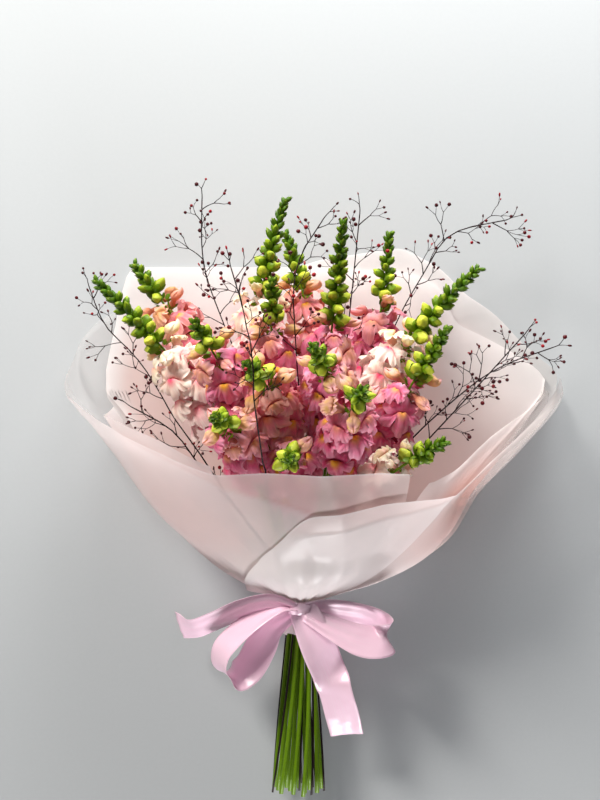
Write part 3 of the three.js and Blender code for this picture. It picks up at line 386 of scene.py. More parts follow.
def bowl_side(h, sine):
    """How much wider the wrap is than its round shape at a height, at a place whose turn from the
    top has a certain sine. It bellies out low down on the right and is drawn in on the left."""
    sides = []
    for share, start, full, fades, gone in (RIGHT_BELLY, LEFT_WAIST):
        swell = smooth((h - start) / (full - start)) * (1 - smooth((h - fades) / (gone - fades)))
        sides.append(1 + share * swell * sine**2)
    return np.where(sine > 0, *sides)


def bowl_slope(h):
    """How fast the wrap widens."""
    share = (np.clip(h, 0, BOWL_HEIGHT) + BOWL_START) / BOWL_HEIGHT
    slope = BOWL_REACH * BOWL_POWER / BOWL_HEIGHT * share ** (BOWL_POWER - 1)
    slope = np.where(h > BOWL_HEIGHT, BOWL_TAPER, slope)
    return np.where(h <= 0, -2 * SKIRT_FLARE * np.maximum(0, -h - WRAP_GATHER), slope)


def level(x):
    """A share that grows to 1 and stays there, with a soft corner."""
    soft = 0.3
    corner = x - (x - 1 + soft) ** 2 / (4 * soft)
    return np.where(x < 1 - soft, x, np.where(x > 1 + soft, 1, corner))


def on_wrap(turn, h, layer, off):
    """A place on the wrap: the turn round the tie from the top, in degrees, the height above the
    tie, the sheet's layer and how far the place stands off that layer."""
    t = np.radians(turn)
    slope = bowl_slope(h)
    outward = 1 / np.hypot(1, slope)
    off = layer * (WRAP_PITCH + WRAP_LOOSENESS * np.maximum(0, h)) + off
    pleat = 1 + PLEAT_DEPTH * np.cos(PLEATS * t + 0.5) * smooth((h + 10) / 40)
    wide = bowl_width(h) * bowl_side(h, np.sin(t)) * pleat + off * outward
    deep = bowl_depth(h) * pleat + off * outward
    floor = (WRAP_LAYERS - 1 - layer) * WRAP_PITCH + WRAP_THICKNESS / 2
    room = TIE_HEIGHT - floor
    below = TIE_HEIGHT - room * level(deep * np.maximum(0, -np.cos(t)) / room)
    z = np.where(np.cos(t) >= 0, TIE_HEIGHT + deep * np.cos(t), below)
    x = wide * np.sin(t) + BOWL_LEAN * np.maximum(0, h)
    return np.stack([x, h - off * slope * outward, z], axis=-1)


def inside_wrap(p, gap):
    """Whether places inside the bowl keep a gap to the wrap."""
    y, z = p[..., 1], p[..., 2] - TIE_HEIGHT
    x = p[..., 0] - BOWL_LEAN * y
    rim = between(OPENING, np.degrees(np.arctan2(x, z)))
    half = bowl_width(y)
    wide = np.maximum(half * bowl_side(y, np.clip(x / half, -1, 1)) - gap, 1)
    deep = np.maximum(bowl_depth(y) - gap, 1)
    above = (p[..., 2] >= (WRAP_LAYERS + 2) * WRAP_PITCH) & (y >= LEANING_OUT)
    return above & ((y > rim + LEANING_OUT) | ((x / wide) ** 2 + (z / deep) ** 2 < 1))


# The lines of the stems and sprays


def head_line(tip, aim):
    """A stem's line from the tie to its tip."""
    start = np.array([0, TIE_Y, TIE_HEIGHT], float)
    reach = np.linalg.norm(tip - start)
    bend = tip - unit(aim) * STEM_SWING * np.linalg.norm(tip - [0, 0, TIE_HEIGHT])
    leave = unit(unit(bend - start) + [0, LEAVING_AHEAD, 0])
    a, b, c, d = start, start + leave * STEM_LEAVING * reach, bend, tip
    t = np.linspace(0, 1, CURVE_STEPS + 1)[:, None]
    curve = a * (1 - t) ** 3 + 3 * b * t * (1 - t) ** 2 + 3 * c * t**2 * (1 - t) + d * t**3
    return even_steps(curve, LINE_PITCH)


def head_needs(points, bud, bloom):
    """How much room each point of a stem wants round it, and how far it is free to move."""
    from_tip = reaches(points)[-1] - reaches(points)
    room = np.where(from_tip <= bud, BUD_ROOM, np.where(from_tip < bud + bloom, BLOOM_ROOM, STEM_ROOM))
    return room, smooth((from_tip - HELD_SHARE * bud) / TIP_FADE) * smooth(reaches(points) / TIE_FADE)


def settle(lines):
    """Pushes lines that crowd each other apart and keeps them clear of the wrap. Each line is its
    points, how much room they want and how free they are. A spray gives way to a head, and never
    the other way."""
    points, room, free = [np.concatenate(column) for column in zip(*lines)]
    owner = np.concatenate([np.full(len(line[0]), i) for i, line in enumerate(lines)])
    head = owner < len(SNAPDRAGONS)
    crowds = (owner[:, None] != owner) & ~(head[:, None] & ~head)
    number = np.arange(len(points))
    before = np.where(np.roll(owner, 1) == owner, number - 1, number)
    after = np.where(np.roll(owner, -1) == owner, number + 1, number)
    want = room[:, None] + room
    for _ in range(SETTLE_ROUNDS):
        way = points[:, None] - points
        apart = np.linalg.norm(way, axis=2)
        push = PUSH_SHARE * np.maximum(want - apart, 0) / np.maximum(1, apart)
        raw = np.einsum("ij,ijk->ik", push * crowds, way)
        raw[free == 0] = 0
        points = points + (raw + raw[before] + raw[after]) * free[:, None] / 3
        out = (points[:, 1] > FAN_Y) & ~inside_wrap(points, room)
        inward = 1 - DRAW_IN * free[out]
        points[out, 0] *= inward
        points[out, 1] += MOVE_ON * free[out]
        points[out, 2] = TIE_HEIGHT + (points[out, 2] - TIE_HEIGHT) * inward
    return [points[owner == i] for i in range(len(lines))]


def above_fan(points):
    """The part of a line that is above the straight fan."""
    first = int(np.argmax(points[:, 1] > FAN_Y))
    a, b = points[first - 1], points[first]
    return np.concatenate([[a + (b - a) * (FAN_Y - a[1]) / (b[1] - a[1])], points[first:]])


def spread(places, radii, gap, draw_in):
    """Moves round things on a plane apart until there is a gap between them."""
    places = [list(p) for p in places]
    count = len(places)
    for _ in range(SPREAD_ROUNDS):
        for p in places:
            p[0] *= draw_in
            p[1] *= draw_in
        for i in range(count):
            for j in range(i + 1, count):
                a, b = places[i], places[j]
                dx, dz = b[0] - a[0], b[1] - a[1]
                apart = max(1e-6, math.hypot(dx, dz))
                short = radii[i] + radii[j] + gap - apart
                if short > 0:
                    step = short * 0.5 / apart
                    a[0] -= dx * step
                    a[1] -= dz * step
                    b[0] += dx * step
                    b[1] += dz * step
    return np.array(places)


def below_tie(place, distances, drop):
    """Where a stem lies at some distances below the tie. The bundle widens and twists as one."""
    share = distances / STEM_BELOW_TIE
    wide = 1 + STEM_SPREAD * share
    turn = STEM_TWIST * share
    x = (place[0] * np.cos(turn) - place[1] * np.sin(turn)) * wide
    z = (place[0] * np.sin(turn) + place[1] * np.cos(turn)) * wide
    return np.stack([x, TIE_Y - distances, TIE_HEIGHT + z - drop * share], axis=-1)


@lru_cache(maxsize=1)
def layout():
    """The stalks of the snapdragons and of the sprays, and the radius of the bundle in the tie."""
    lines = []
    for tip, aim, bud, bloom, _ in SNAPDRAGONS:
        points = head_line(np.array(tip, float), np.array(aim, float))
        lines.append((points, *head_needs(points, bud, bloom)))
    for path in SPRAYS:
        points = even_steps(rounded([(0, TIE_Y, TIE_HEIGHT), *path]), LINE_PITCH)
        number = np.arange(len(points))
        free = smooth((number[-1] - number) / SPRAY_FADES[0]) * smooth(number / SPRAY_FADES[1])
        lines.append((points, np.full(len(points), float(SPRAY_ROOM)), free))
    fanned = [above_fan(points) for points in settle(lines)]
    radii = [STEM_RADIUS] * len(SNAPDRAGONS) + [SPRAY_RADIUS] * len(SPRAYS)
    starts = [(line[0][0], line[0][2] - TIE_HEIGHT) for line in fanned]
    fan = spread(starts, radii, FAN_CLEARANCE, 1)
    for line, (x, z) in zip(fanned, fan):
        shift = np.array([x - line[0][0], 0, z + TIE_HEIGHT - line[0][2]])
        line += shift * (1 - smooth((line[:, 1:2] - line[0][1]) / FAN_FADE))
    places = spread(fan * FAN_SHARE, radii, TIE_CLEARANCE, TIE_DRAW_IN)
    bundle = max(math.hypot(*p) + r for p, r in zip(places, radii))
    low = min((p[0] * math.sin(STEM_TWIST) + p[1] * math.cos(STEM_TWIST)) * (1 + STEM_SPREAD) - r
              for p, r in zip(places, radii))
    stalks = []
    for place, line in zip(places, fanned):
        below = below_tie(place, np.linspace(STEM_BELOW_TIE, 0, BELOW_POINTS), TIE_HEIGHT + low)
        stalks.append(Stalk(np.concatenate([below, line])))
    return stalks[: len(SNAPDRAGONS)], stalks[len(SNAPDRAGONS) :], bundle


# Meshes


@lru_cache(maxsize=1)
def frame_shift():
    """From the build's coordinates to the frame, from where the twine lies in each."""
    low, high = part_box("twine")
    middle = (np.array(low) + np.array(high)) / 2
    return middle - np.array([0, TIE_Y - TWINE_WIDTH / 2, TIE_HEIGHT]) * MM


class Build:
    """Collects the surfaces of one piece, with two shares, a tone and a UV for each corner."""

    MARKS = ("share", "mark", "tone")

    def __init__(self):
        self.corners = []
        self.faces = []
        self.marks = []
        self.uvs = []
        self.count = 0

    def grid(self, points, share=0.0, mark=0.0, tone=0.0, closed=False, cap=False):
        """A sheet of quads over rows of points. A closed one joins its last column to its first,
        and a capped one is shut at both ends."""
        rows, columns = points.shape[:2]
        first = self.count
        self.corners.append(points.reshape(-1, 3))
        values = [np.broadcast_to(v, (rows, columns)).reshape(-1) for v in (share, mark, tone)]
        self.marks.append(np.stack(values, axis=-1))
        u, v = np.meshgrid(np.linspace(0, 1, columns), np.linspace(0, 1, rows))
        self.uvs.append(np.stack([u, v], axis=-1).reshape(-1, 2))
        self.count += rows * columns
        number = first + np.arange(rows * columns).reshape(rows, columns)
        if closed:
            number = np.concatenate([number, number[:, :1]], axis=1)
        quads = [number[:-1, :-1], number[:-1, 1:], number[1:, 1:], number[1:, :-1]]
        self.faces.extend(np.stack(quads, axis=-1).reshape(-1, 4).tolist())
        if cap:
            self.faces.append(number[0, :columns][::-1].tolist())
            self.faces.append(number[-1, :columns].tolist())

    def tube(self, points, radii, sides, **marks):
        """A tube round a line of points."""
        stalk = Stalk(points)
        turns = 2 * np.pi * np.arange(sides) / sides
        ring = stalk.side[:, None] * np.cos(turns)[:, None] + stalk.lift[:, None] * np.sin(turns)[:, None]
        radii = np.broadcast_to(radii, (len(stalk.points),))
        surface = stalk.points[:, None] + ring * radii[:, None, None]
        self.grid(surface, closed=True, cap=True, **marks)

    def piece(self, name, material, nodes):
        """Makes the mesh object that stands for some nodes of the frame."""
        mesh = bpy.data.meshes.new(name)
        corners = np.concatenate(self.corners) * MM + frame_shift()
        mesh.from_pydata(corners.tolist(), [], self.faces)
        marks = np.concatenate(self.marks)
        for k, mark in enumerate(self.MARKS):
            attribute = mesh.attributes.new(mark, "FLOAT", "POINT")
            attribute.data.foreach_set("value", marks[:, k].astype(np.float32))
        corner = np.zeros(len(mesh.loops), np.int32)
        mesh.loops.foreach_get("vertex_index", corner)
        layer = mesh.uv_layers.new(name="UVMap")
        layer.data.foreach_set("uv", np.concatenate(self.uvs)[corner].astype(np.float32).ravel())
        mesh.polygons.foreach_set("use_smooth", np.ones(len(mesh.polygons), bool))
        mesh.materials.append(material)
        mesh.validate()
        made = bpy.data.objects.new(name, mesh)
        bpy.context.scene.collection.objects.link(made)
        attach(made, "root")
        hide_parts(*nodes)
        return made


# Materials

# A blend of two colours: its share is at socket 0, its colours at 6 and 7 and its result at 2.
BLEND = {"kind": "Mix", "output": 2, "data_type": "RGBA"}
MULTIPLY = {**BLEND, "blend_type": "MULTIPLY"}
WHITE = (1, 1, 1, 1)
WING_PAINTED_SHADE = (0.88, 0.885, 0.87, 1)  # painted shade on a sheer wing of the film: what the wing keeps of its brightness
VEIN_SPACING = 1.6  # of the streaks along a petal, drawn coarser than real veins so that they show
FLORET_ROUND = 112  # round the rim of a floret
THREAD_SPACING = 0.2375  # of the satin's threads, drawn coarser than real ones so that they show
PLY_WIDTH = 1  # of the twine


def add_node(tree, kind, inputs, output=0, stops=(), **settings):
    """Adds a shader node with its settings and its colour stops, puts a value or another node's
    output at each of its inputs, and gives back one of its own outputs, if it has any."""
    node = tree.nodes.new("ShaderNode" + kind)
    for name, value in settings.items():
        setattr(node, name, value)
    for key, value in inputs.items():
        if isinstance(value, bpy.types.NodeSocket):
            tree.links.new(value, node.inputs[key])
        else:
            node.inputs[key].default_value = value
    if stops:
        elements = node.color_ramp.elements
        elements[0].position, elements[0].color = stops[0]
        elements[1].position, elements[1].color = stops[-1]
        for place, colour in stops[1:-1]:
            elements.new(place).color = colour
    return node.outputs[output] if len(node.outputs) else None


def new_material(name):
    """A material without nodes, and the function that adds one to it."""
    material = bpy.data.materials.new(name)
    material.use_nodes = True
    material.node_tree.nodes.clear()
    return material, partial(add_node, material.node_tree)


def rgba(colour):
    """A colour property as the four numbers of a socket."""
    return (*colour, 1.0)


def greys(*stops):
    """Colour stops from pairs of a place and a brightness."""
    return [(place, (bright, bright, bright, 1)) for place, bright in stops]


def speckle(add, size_mm, stops, detail=2):
    """A pattern of soft spots of a size in millimetres on the piece, coloured by the stops."""
    place = add("TexCoord", {}, "Object")
    spots = add("TexNoise", {"Vector": place, "Scale": 1 / (size_mm * MM), "Detail": detail})
    return add("ValToRGB", {"Fac": spots}, stops=stops)


def relief(add, size_mm, depth_mm, roughness=0.5, strength=1.0):
    """An uneven surface, with grains of a size and a depth in millimetres on the piece."""
    place = add("TexCoord", {}, "Object")
    grains = add("TexNoise", {"Vector": place, "Scale": 1 / (size_mm * MM), "Roughness": roughness})
    return add("Bump", {"Height": grains, "Distance": depth_mm * MM, "Strength": strength})


def finish_surface(add, surface, through=None, share=0.0, clear=None):
    """Ends a material. Through is the colour of the light that the surface lets through, share how
    much of it there is, and clear an output with how much is seen straight through it."""
    if through is not None:
        glow = add("BsdfTranslucent", {"Color": through})
        surface = add("MixShader", {0: share, 1: surface, 2: glow})
    if clear is not None:
        surface = add("MixShader", {0: clear, 1: surface, 2: add("BsdfTransparent", {})})
    add("OutputMaterial", {"Surface": surface})


def petal(name, *colours):
    """Snapdragon petal: a thin velvety leaf that lets light through, from young to old in its head,
    deeper in the throat, partly its own colour and partly painted shade there, paler at its ruffled
    edge and along its veins, with a coloured palate."""
    young, middle, deep, edge, throat, palate = [rgba(colour) for colour in colours]
    material, add = new_material(name)
    rim, spot, tone = [add("Attribute", {}, "Fac", attribute_name=mark) for mark in Build.MARKS]
    veined = add("Mapping", {
        "Vector": add("TexCoord", {}, "UV"), "Scale": (FLORET_ROUND / VEIN_SPACING, 3, 1)})
    streak = add("TexNoise", {"Vector": veined, "Scale": 1, "Detail": 3})
    # Where the throat colour goes: partly the petal's own deeper colour, partly painted shade in the
    # throat
    inner = add("ValToRGB", {"Fac": rim}, stops=greys((0.05, 1), (0.34, 0.5), (0.62, 0)))
    outer = add("ValToRGB", {"Fac": rim}, stops=greys((0.6, 0), (1, 0.75)))
    veins = add("ValToRGB", {"Fac": streak}, stops=((0.4, (0.86, 0.76, 0.8, 1)), (0.6, WHITE)))
    grown = add("ValToRGB", {"Fac": tone}, stops=greys((0.1, 0), (0.3, 1)))
    base = add("ValToRGB", {"Fac": tone}, stops=((0.04, young), (0.3, middle), (0.95, deep)))
    lighter = add(inputs={0: 0.45, 6: base, 7: edge}, **BLEND)
    base = add(inputs={0: speckle(add, 8, greys((0.4, 0), (0.65, 1))), 6: base, 7: lighter}, **BLEND)
    # The throat colour, partly painted shade in the recess of the throat
    deeper = add(inputs={0: 0.6, 6: base, 7: throat}, **BLEND)
    base = add(inputs={0: inner, 6: base, 7: deeper}, **BLEND)
    base = add(inputs={0: outer, 6: base, 7: edge}, **BLEND)
    base = add(inputs={0: 0.6, 6: base, 7: veins}, **MULTIPLY)
    spot = add(inputs={0: 1, 6: spot, 7: grown}, **MULTIPLY)
    base = add(inputs={0: spot, 6: base, 7: palate}, **BLEND)
    shader = add("BsdfPrincipled", {
        "Base Color": base,
        "Normal": add("Bump", {"Height": streak, "Distance": 0.3 * MM}),
        "Roughness": 0.55,
        "IOR": 1.4,
        "Specular IOR Level": 0.3,
    })
    finish_surface(add, shader, base, 0.35)
    return material


def green(name, *colours):
    """Fresh green of stems, sepals and closed buds: waxy, mottled, darker where it is young and
    lime to yellow where the bud is ripe."""
    dark, lime, pale = [rgba(colour) for colour in colours]
    material, add = new_material(name)
    along, ripe, tone = [add("Attribute", {}, "Fac", attribute_name=mark) for mark in Build.MARKS]
    base = add("ValToRGB", {"Fac": ripe}, stops=((0, dark), (0.55, lime), (1, pale)))
    lighter = add(inputs={0: 0.5, 6: base, 7: pale}, **BLEND)
    tip = add(inputs={0: 0.5, 6: along, 7: ripe}, **MULTIPLY)
    base = add(inputs={0: tip, 6: base, 7: lighter}, **BLEND)
    shade = add("ValToRGB", {"Fac": tone}, stops=((0, (0.56, 0.62, 0.4, 1)), (1, (1.15, 1.12, 1, 1))))
    base = add(inputs={0: 1, 6: base, 7: shade}, **MULTIPLY)
    mottle = speckle(add, 2.5, ((0.35, (0.8, 0.86, 0.75, 1)), (0.65, WHITE)))
    base = add(inputs={0: 0.7, 6: base, 7: mottle}, **MULTIPLY)
    shader = add("BsdfPrincipled", {
        "Base Color": base,
        "Normal": relief(add, 2.2, 0.5),
        "Roughness": 0.45,
        "IOR": 1.42,
        "Specular IOR Level": 0.4,
    })
    finish_surface(add, shader, base, 0.16)
    return material


def dried_berry(name, *colours):
    """Dark red-brown twigs, matt, with glossy wine-red berries, a few of them brighter."""
    twig, berry, bright = [rgba(colour) for colour in colours]
    material, add = new_material(name)
    on_berry, tone = [add("Attribute", {}, "Fac", attribute_name=mark) for mark in Build.MARKS[1:]]
    reds = add("ValToRGB", {"Fac": tone}, stops=((0.65, berry), (0.95, bright)))
    base = add(inputs={0: on_berry, 6: twig, 7: reds}, **BLEND)
    bark = speckle(add, 1, greys((0.3, 0.7), (0.7, 1.1)))
    base = add(inputs={0: 1, 6: base, 7: bark}, **MULTIPLY)
    shader = add("BsdfPrincipled", {
        "Base Color": base,
        "Roughness": add("ValToRGB", {"Fac": on_berry}, stops=greys((0, 0.6), (1, 0.28))),
        "Normal": relief(add, 0.8, 0.1),
        "IOR": 1.45,
        "Specular IOR Level": 0.25,
    })
    finish_surface(add, shader)
    return material


def frosted_film(name, face_colours, glow_colours, glow_share, clear, sheer):
    """Frosted polypropylene flower wrap: a thin matt film that blurs what lies behind it, white on
    its face and pinker where light comes through it, with cloudy variation and fine crumpling. Each
    pair of colours is that of the plain film and that of the film beside the flowers, where the pink
    and the darkening are painted light and shade of the flowers. Its sheer wings are darkened with
    painted shade. Clear and sheer are the shares of light that pass straight through it, in its
    middle and in its thin wings."""
    material, add = new_material(name)
    # The flowers' painted light and shade on the film: their pink seen through it, their pink light and
    # their shadow
    painted_flower_tint, thin = [add("Attribute", {}, "Fac", attribute_name=mark) for mark in Build.MARKS[1:]]
    cloud = speckle(add, 60, greys((0.3, 0.95), (0.7, 1)), 3)
    # Painted shade: the film is darkened where it grows sheer in its wings; the cloudy variation is the
    # film's own
    wing = add("ValToRGB", {"Fac": thin}, stops=((0, WHITE), (1, WING_PAINTED_SHADE)))
    shade = add(inputs={0: 1, 6: cloud, 7: wing}, **MULTIPLY)
    # Face and glow are tinted towards the painted pink and shade of the flowers
    tints = [add(inputs={0: painted_flower_tint, 6: rgba(plain), 7: rgba(pink)}, **BLEND)
             for plain, pink in (face_colours, glow_colours)]
    face, glow = [add(inputs={0: 1, 6: tint, 7: shade}, **MULTIPLY) for tint in tints]
    shader = add("BsdfPrincipled", {
        "Base Color": face,
        "Normal": relief(add, 26, 1.4, 0.4, 0.6),
        "Roughness": 0.4,
        "IOR": 1.12,
        "Transmission Weight": clear,
        "Coat Weight": 0.2,
        "Coat Roughness": 0.3,
    })
    hole = add("ValToRGB", {"Fac": thin}, stops=greys((0, clear), (1, sheer)))
    finish_surface(add, shader, glow, glow_share, hole)
    return material


def satin(name, colour, painted_sheen_colour):
    """Woven polyester satin: smooth floats that shine across the ribbon, with a fine thread line whose
    lighter threads are painted sheen, and the faint waves that it keeps from its reel."""
    material, add = new_material(name)
    uv = add("TexCoord", {}, "UV")
    fine, broad = [add("Mapping", {"Vector": uv, "Scale": scale})
                   for scale in ((RIBBON_WIDTH / THREAD_SPACING, 3, 1), (2, 9, 1))]
    threads = add("TexNoise", {"Vector": fine, "Scale": 1})
    waves = add("TexNoise", {"Vector": broad, "Scale": 1, "Detail": 1})
    # Painted sheen: a fine noise of threads blends the ribbon colour towards a lighter sheen colour
    base = add(inputs={0: threads, 6: rgba(colour), 7: rgba(painted_sheen_colour)}, **BLEND)
    shader = add("BsdfPrincipled", {
        "Base Color": base,
        "Normal": add("Bump", {"Height": waves, "Distance": 3 * MM, "Strength": 0.6}),
        "Roughness": 0.3,
        "IOR": 1.6,
        "Coat Weight": 0.5,
        "Coat Roughness": 0.3,
    })
    finish_surface(add, shader, base, 0.2)
    return material


def jute(name, colour, painted_ply_shade_colour):
    """Spun jute: matt, hairy and two-toned, darker between its plies in painted shade."""
    material, add = new_material(name)
    place = add("TexCoord", {}, "Object")
    ply = add("TexNoise", {"Vector": place, "Scale": 1 / (PLY_WIDTH * MM)})
    # Painted shade between the plies, in a noise the size of a ply
    base = add(inputs={0: ply, 6: rgba(painted_ply_shade_colour), 7: rgba(colour)}, **BLEND)
    normal = add("Bump", {"Height": ply, "Distance": 0.3 * MM})
    finish_surface(add, add("BsdfPrincipled", {"Base Color": base, "Normal": normal, "Roughness": 0.9}))
    return material


def studio_floor(name, colour):
    """A plain pale painted floor, matt."""
    material, add = new_material(name)
    roller = speckle(add, 4, greys((0.3, 0.985), (0.7, 1)))
    base = add(inputs={0: 1, 6: rgba(colour), 7: roller}, **MULTIPLY)
    finish_surface(add, add("BsdfPrincipled", {"Base Color": base, "Roughness": 0.8}))
    return material


# Florets

FLORET_COLUMNS = 60
LIMB_ROWS = 15
FLORET_START = 4  # of the tube's root from the middle of the stem
CALYX_END = 2.2  # the tube's radius at its root
SHUT = 0.3  # the share of the way out at which the two lips meet
NOTCH = 0.46  # the share of the way out at which the petals part from each other
PALATE_TURN = (180, 38)  # the middle of the yellow spot and how far to the sides it fades, in degrees
PALATE_REACH = (0.36, 0.15)  # the same in shares of the way out
WAVE = 1.8  # how far the ruffles of the rim stand forward and back
CUP = 3.2  # how far a lobe's sides bend
PALATE_PUFF = 2.8  # how far the palate swells up

# The lips of a floret from its tube to the rim of its petals, in rows of the share of the way out,
# how far forward the top, the side and the bottom lie, how far up they lie, and how far out the side.
LIPS = (
    (0.0, 11, 11, 11, 4.8, 0, -4.8, 4.8),
    (0.14, 15, 14, 15, 6.3, 0.5, -4.2, 6.4),
    (0.3, 18, 15.5, 18.5, 6.8, 2, 4.6, 7.2),
    (0.45, 18.5, 16.5, 22.5, 11, 2, 1.2, 10.5),
    (0.7, 15.5, 16.5, 22.5, 17, 1.5, -8, 15),
    (1.0, 9.5, 13.5, 16.5, 22.5, 0, -18, 19.5),
)
LIP_CURVES = catmull(LIPS, 8).T

# Each lobe's middle turn and half its width in degrees, and its share of the way out.
LOBES = ((-38, 41, 1.0), (38, 41, 1.0), (-112, 35, 0.92), (112, 35, 0.92), (180, 34, 0.98))
# How much lobes differ: in their turn, their reach, how far they tilt forward and how cupped they are.
LOBE_TURN = 4
LOBE_REACHES = (0.88, 1.1)
LOBE_TILT = 3.5
LOBE_CUPS = (0.5, 1.3)
PALATE_TINTS = (0.3, 1.2)

# A floret that is open by less than this share is still folded to a round puff.
CLOSED = 0.3
PUFF_RADIUS = 8.6
PLUMPNESS = (0.72, 1.04)
PUFF_TURNS = (0.55, 3.02)  # where on a round profile the puff leaves its tube and where it shuts
PUFF_START = 11
PUFF_LENGTH = 9.6
PUFF_NOD = 2.5
PUFF_LIP = 3.6  # how much further forward its lower lip reaches than its upper one
SLIT = (0.35, 0.22)  # how deep the slit between its lips is, and how wide, as shares
CLEFT = (0.24, 0.2)  # the same for the cleft between its upper lobes


def lip_places(share, up, side):
    """Forward, up and across on the two lips, at shares of the way out. Up is 1 at the top of the
    mouth and -1 at its bottom, and side is 1 and -1 at its two corners."""
    found = [np.interp(share, LIP_CURVES[0], curve) for curve in LIP_CURVES[1:]]
    top = np.maximum(up, 0)
    bottom = np.maximum(-up, 0)
    forward, high = [middle + (upper - middle) * top + (lower - middle) * bottom
                     for upper, middle, lower in (found[:3], found[3:6])]
    return forward, high, found[6] * side


def puff_places(t, up, side, plump):
    """Forward, up and across on a closed floret: its petals are folded over each other to a puff
    with a slit between its lips and a cleft between the upper two."""
    start, end = PUFF_TURNS
    turn = start + (end - start) * t
    slit = 1 - SLIT[0] * hill(up, SLIT[1]) * smooth((t - 0.3) / 0.4)
    cleft = 1 - CLEFT[0] * hill(side, CLEFT[1]) * smooth((t - 0.2) / 0.4) * (up > 0)
    lobes = 1 + 0.1 * t * np.cos(5 * np.arctan2(side, up))
    out = PUFF_RADIUS * plump * math.sin(turn) * slit * cleft * lobes * (0.8 + 0.2 * smooth(t * 2))
    length = PUFF_LENGTH - 1.6 * plump
    forward = PUFF_START + length * (math.cos(start) - math.cos(turn)) - PUFF_LIP * t * up
    return forward, out * up * 0.86 - PUFF_NOD * t, out * side


def floret_surface(rng, opened, size):
    """The corners of one floret, as distances forward, up and across, with the share of the way out
    and the share of palate of each. It is a tube with two lips that shut its mouth: two lobes that
    stand up and bend back, and a puffed palate over three lobes that hang down."""
    turns = np.linspace(0, 360, FLORET_COLUMNS, endpoint=False)
    theta = np.radians(turns)
    up = np.cos(theta)
    side = np.sin(theta)
    reach = np.full(FLORET_COLUMNS, NOTCH)
    weight = np.full(FLORET_COLUMNS, 1e-3)
    tilt = np.zeros(FLORET_COLUMNS)
    cup = np.zeros(FLORET_COLUMNS)
    for middle, half, far in LOBES:
        u = ((turns - middle - rng.uniform(-LOBE_TURN, LOBE_TURN) + 180) % 360 - 180) / half
        inside = np.clip(1 - np.abs(u) ** 2.4, 0, 1) ** 0.5
        reach = np.maximum(reach, NOTCH + (far * rng.uniform(*LOBE_REACHES) - NOTCH) * inside)
        weight += inside
        tilt += inside * rng.uniform(-LOBE_TILT, LOBE_TILT)
        cup += inside * (0.4 - u * u) * rng.uniform(*LOBE_CUPS)
    tilt /= weight
    reach = SHUT + (reach.mean() + (reach - reach.mean()) * opened - SHUT) * (0.45 + 0.55 * opened)
    phase = rng.uniform(0, 2 * np.pi, 4)
    wave = np.sin(11 * theta + phase[0]) + 0.7 * np.sin(17 * theta + phase[1])
    swing = np.sin(9 * theta + phase[2]) + 0.5 * np.sin(23 * theta + phase[3])
    hump = hill(turns - 180, 46) * (1 - 0.45 * hill(turns - 180, 11))
    yellow = 1.2 * rng.uniform(*PALATE_TINTS) * hill(turns - PALATE_TURN[0], PALATE_TURN[1])
    plump = rng.uniform(*PLUMPNESS)
    calm = 0.06 + 0.94 * opened
    zero = np.zeros(FLORET_COLUMNS)
    rows = [(zero, CALYX_END * up, CALYX_END * side), (zero + 5, 3.6 * up, 3.6 * side)]
    rims = [zero, zero]
    palates = [zero, zero]
    for t in np.linspace(0, 1, LIMB_ROWS):
        mouth = hill(t - PALATE_REACH[0], PALATE_REACH[1])
        rims.append(zero + t)
        palates.append(np.clip(yellow * mouth, 0, 1))
        if opened < CLOSED:
            rows.append(puff_places(t, up, side, plump))
            continue
        share = np.where(t < SHUT, t, SHUT + (t - SHUT) * (reach - SHUT) / (1 - SHUT))
        forward, high, across = lip_places(share, up, side)
        fold = 1 - (1 - opened) * smooth((share - SHUT) / 0.3)
        free = calm * smooth((t - 0.4) / 0.6)
        forward = forward + free * (WAVE * wave + tilt - CUP * cup * up) + 4.5 * (1 - fold)
        high = high * (0.25 + 0.75 * fold) + 1.2 * free * (swing * up + side * cup)
        across = across * (0.3 + 0.7 * fold) + 1.1 * free * swing * side
        rows.append((forward + 1.6 * hump * mouth, high + PALATE_PUFF * hump * mouth, across))
    return size * np.array(rows).transpose(0, 2, 1), np.array(rims), np.array(palates)


def head_segments(stalks, skip, near, reach):
    """The segments of all stalks but one that pass near a place."""
    starts = np.concatenate([s.points[:-1] for i, s in enumerate(stalks) if i != skip])
    ends = np.concatenate([s.points[1:] for i, s in enumerate(stalks) if i != skip])
    close = np.linalg.norm((starts + ends) / 2 - near, axis=1) < reach
    return starts[close], ends[close]


# Where a floret is tried against its neighbours: forward, up and across.
FLORET_PROBES = np.array([(forward, out * math.cos(t), out * math.sin(t))
                          for out, forward in ((18, 15), (10, 21), (0, 21))
                          for t in np.radians(np.arange(0, 360, 45))])
PROBE_REACH = 90  # how far off a stem may be and still count as a neighbour
CELL_OVERLAP = 9  # how far the petals of neighbouring heads reach in among each other
TWIG_GAP = 2
WRAP_GAP = 5
FLORET_SCALES = np.arange(1.0, 0.42, -0.06)


def fit_floret(head, stations, turn, lift):
    """The largest share of full size at which a floret keeps to its own side, or 0, and its root
    and axes."""
    stalks, sprays, _ = layout()
    place, along, side, up = stations
    out = round_axis(side, up, turn)
    forward = round_axis(out, along, lift)
    upward = round_axis(along, out, -lift)
    axes = np.stack([forward, upward, np.cross(forward, upward)])
    root = place + out * FLORET_START
    probes = root + FLORET_SCALES[:, None, None] * (FLORET_PROBES @ axes)
    mine = stalks[head].points
    own = distance_to_segments(probes, mine[:-1], mine[1:])
    others = distance_to_segments(probes, *head_segments(stalks, head, place, PROBE_REACH))
    twigs = distance_to_segments(probes, *head_segments(sprays, -1, place, PROBE_REACH))
    good = (others > own - CELL_OVERLAP) & (twigs > TWIG_GAP) & inside_wrap(probes, WRAP_GAP)
    fits = good.all(axis=1)
    return (FLORET_SCALES[np.argmax(fits)] if fits.any() else 0.0), root, axes


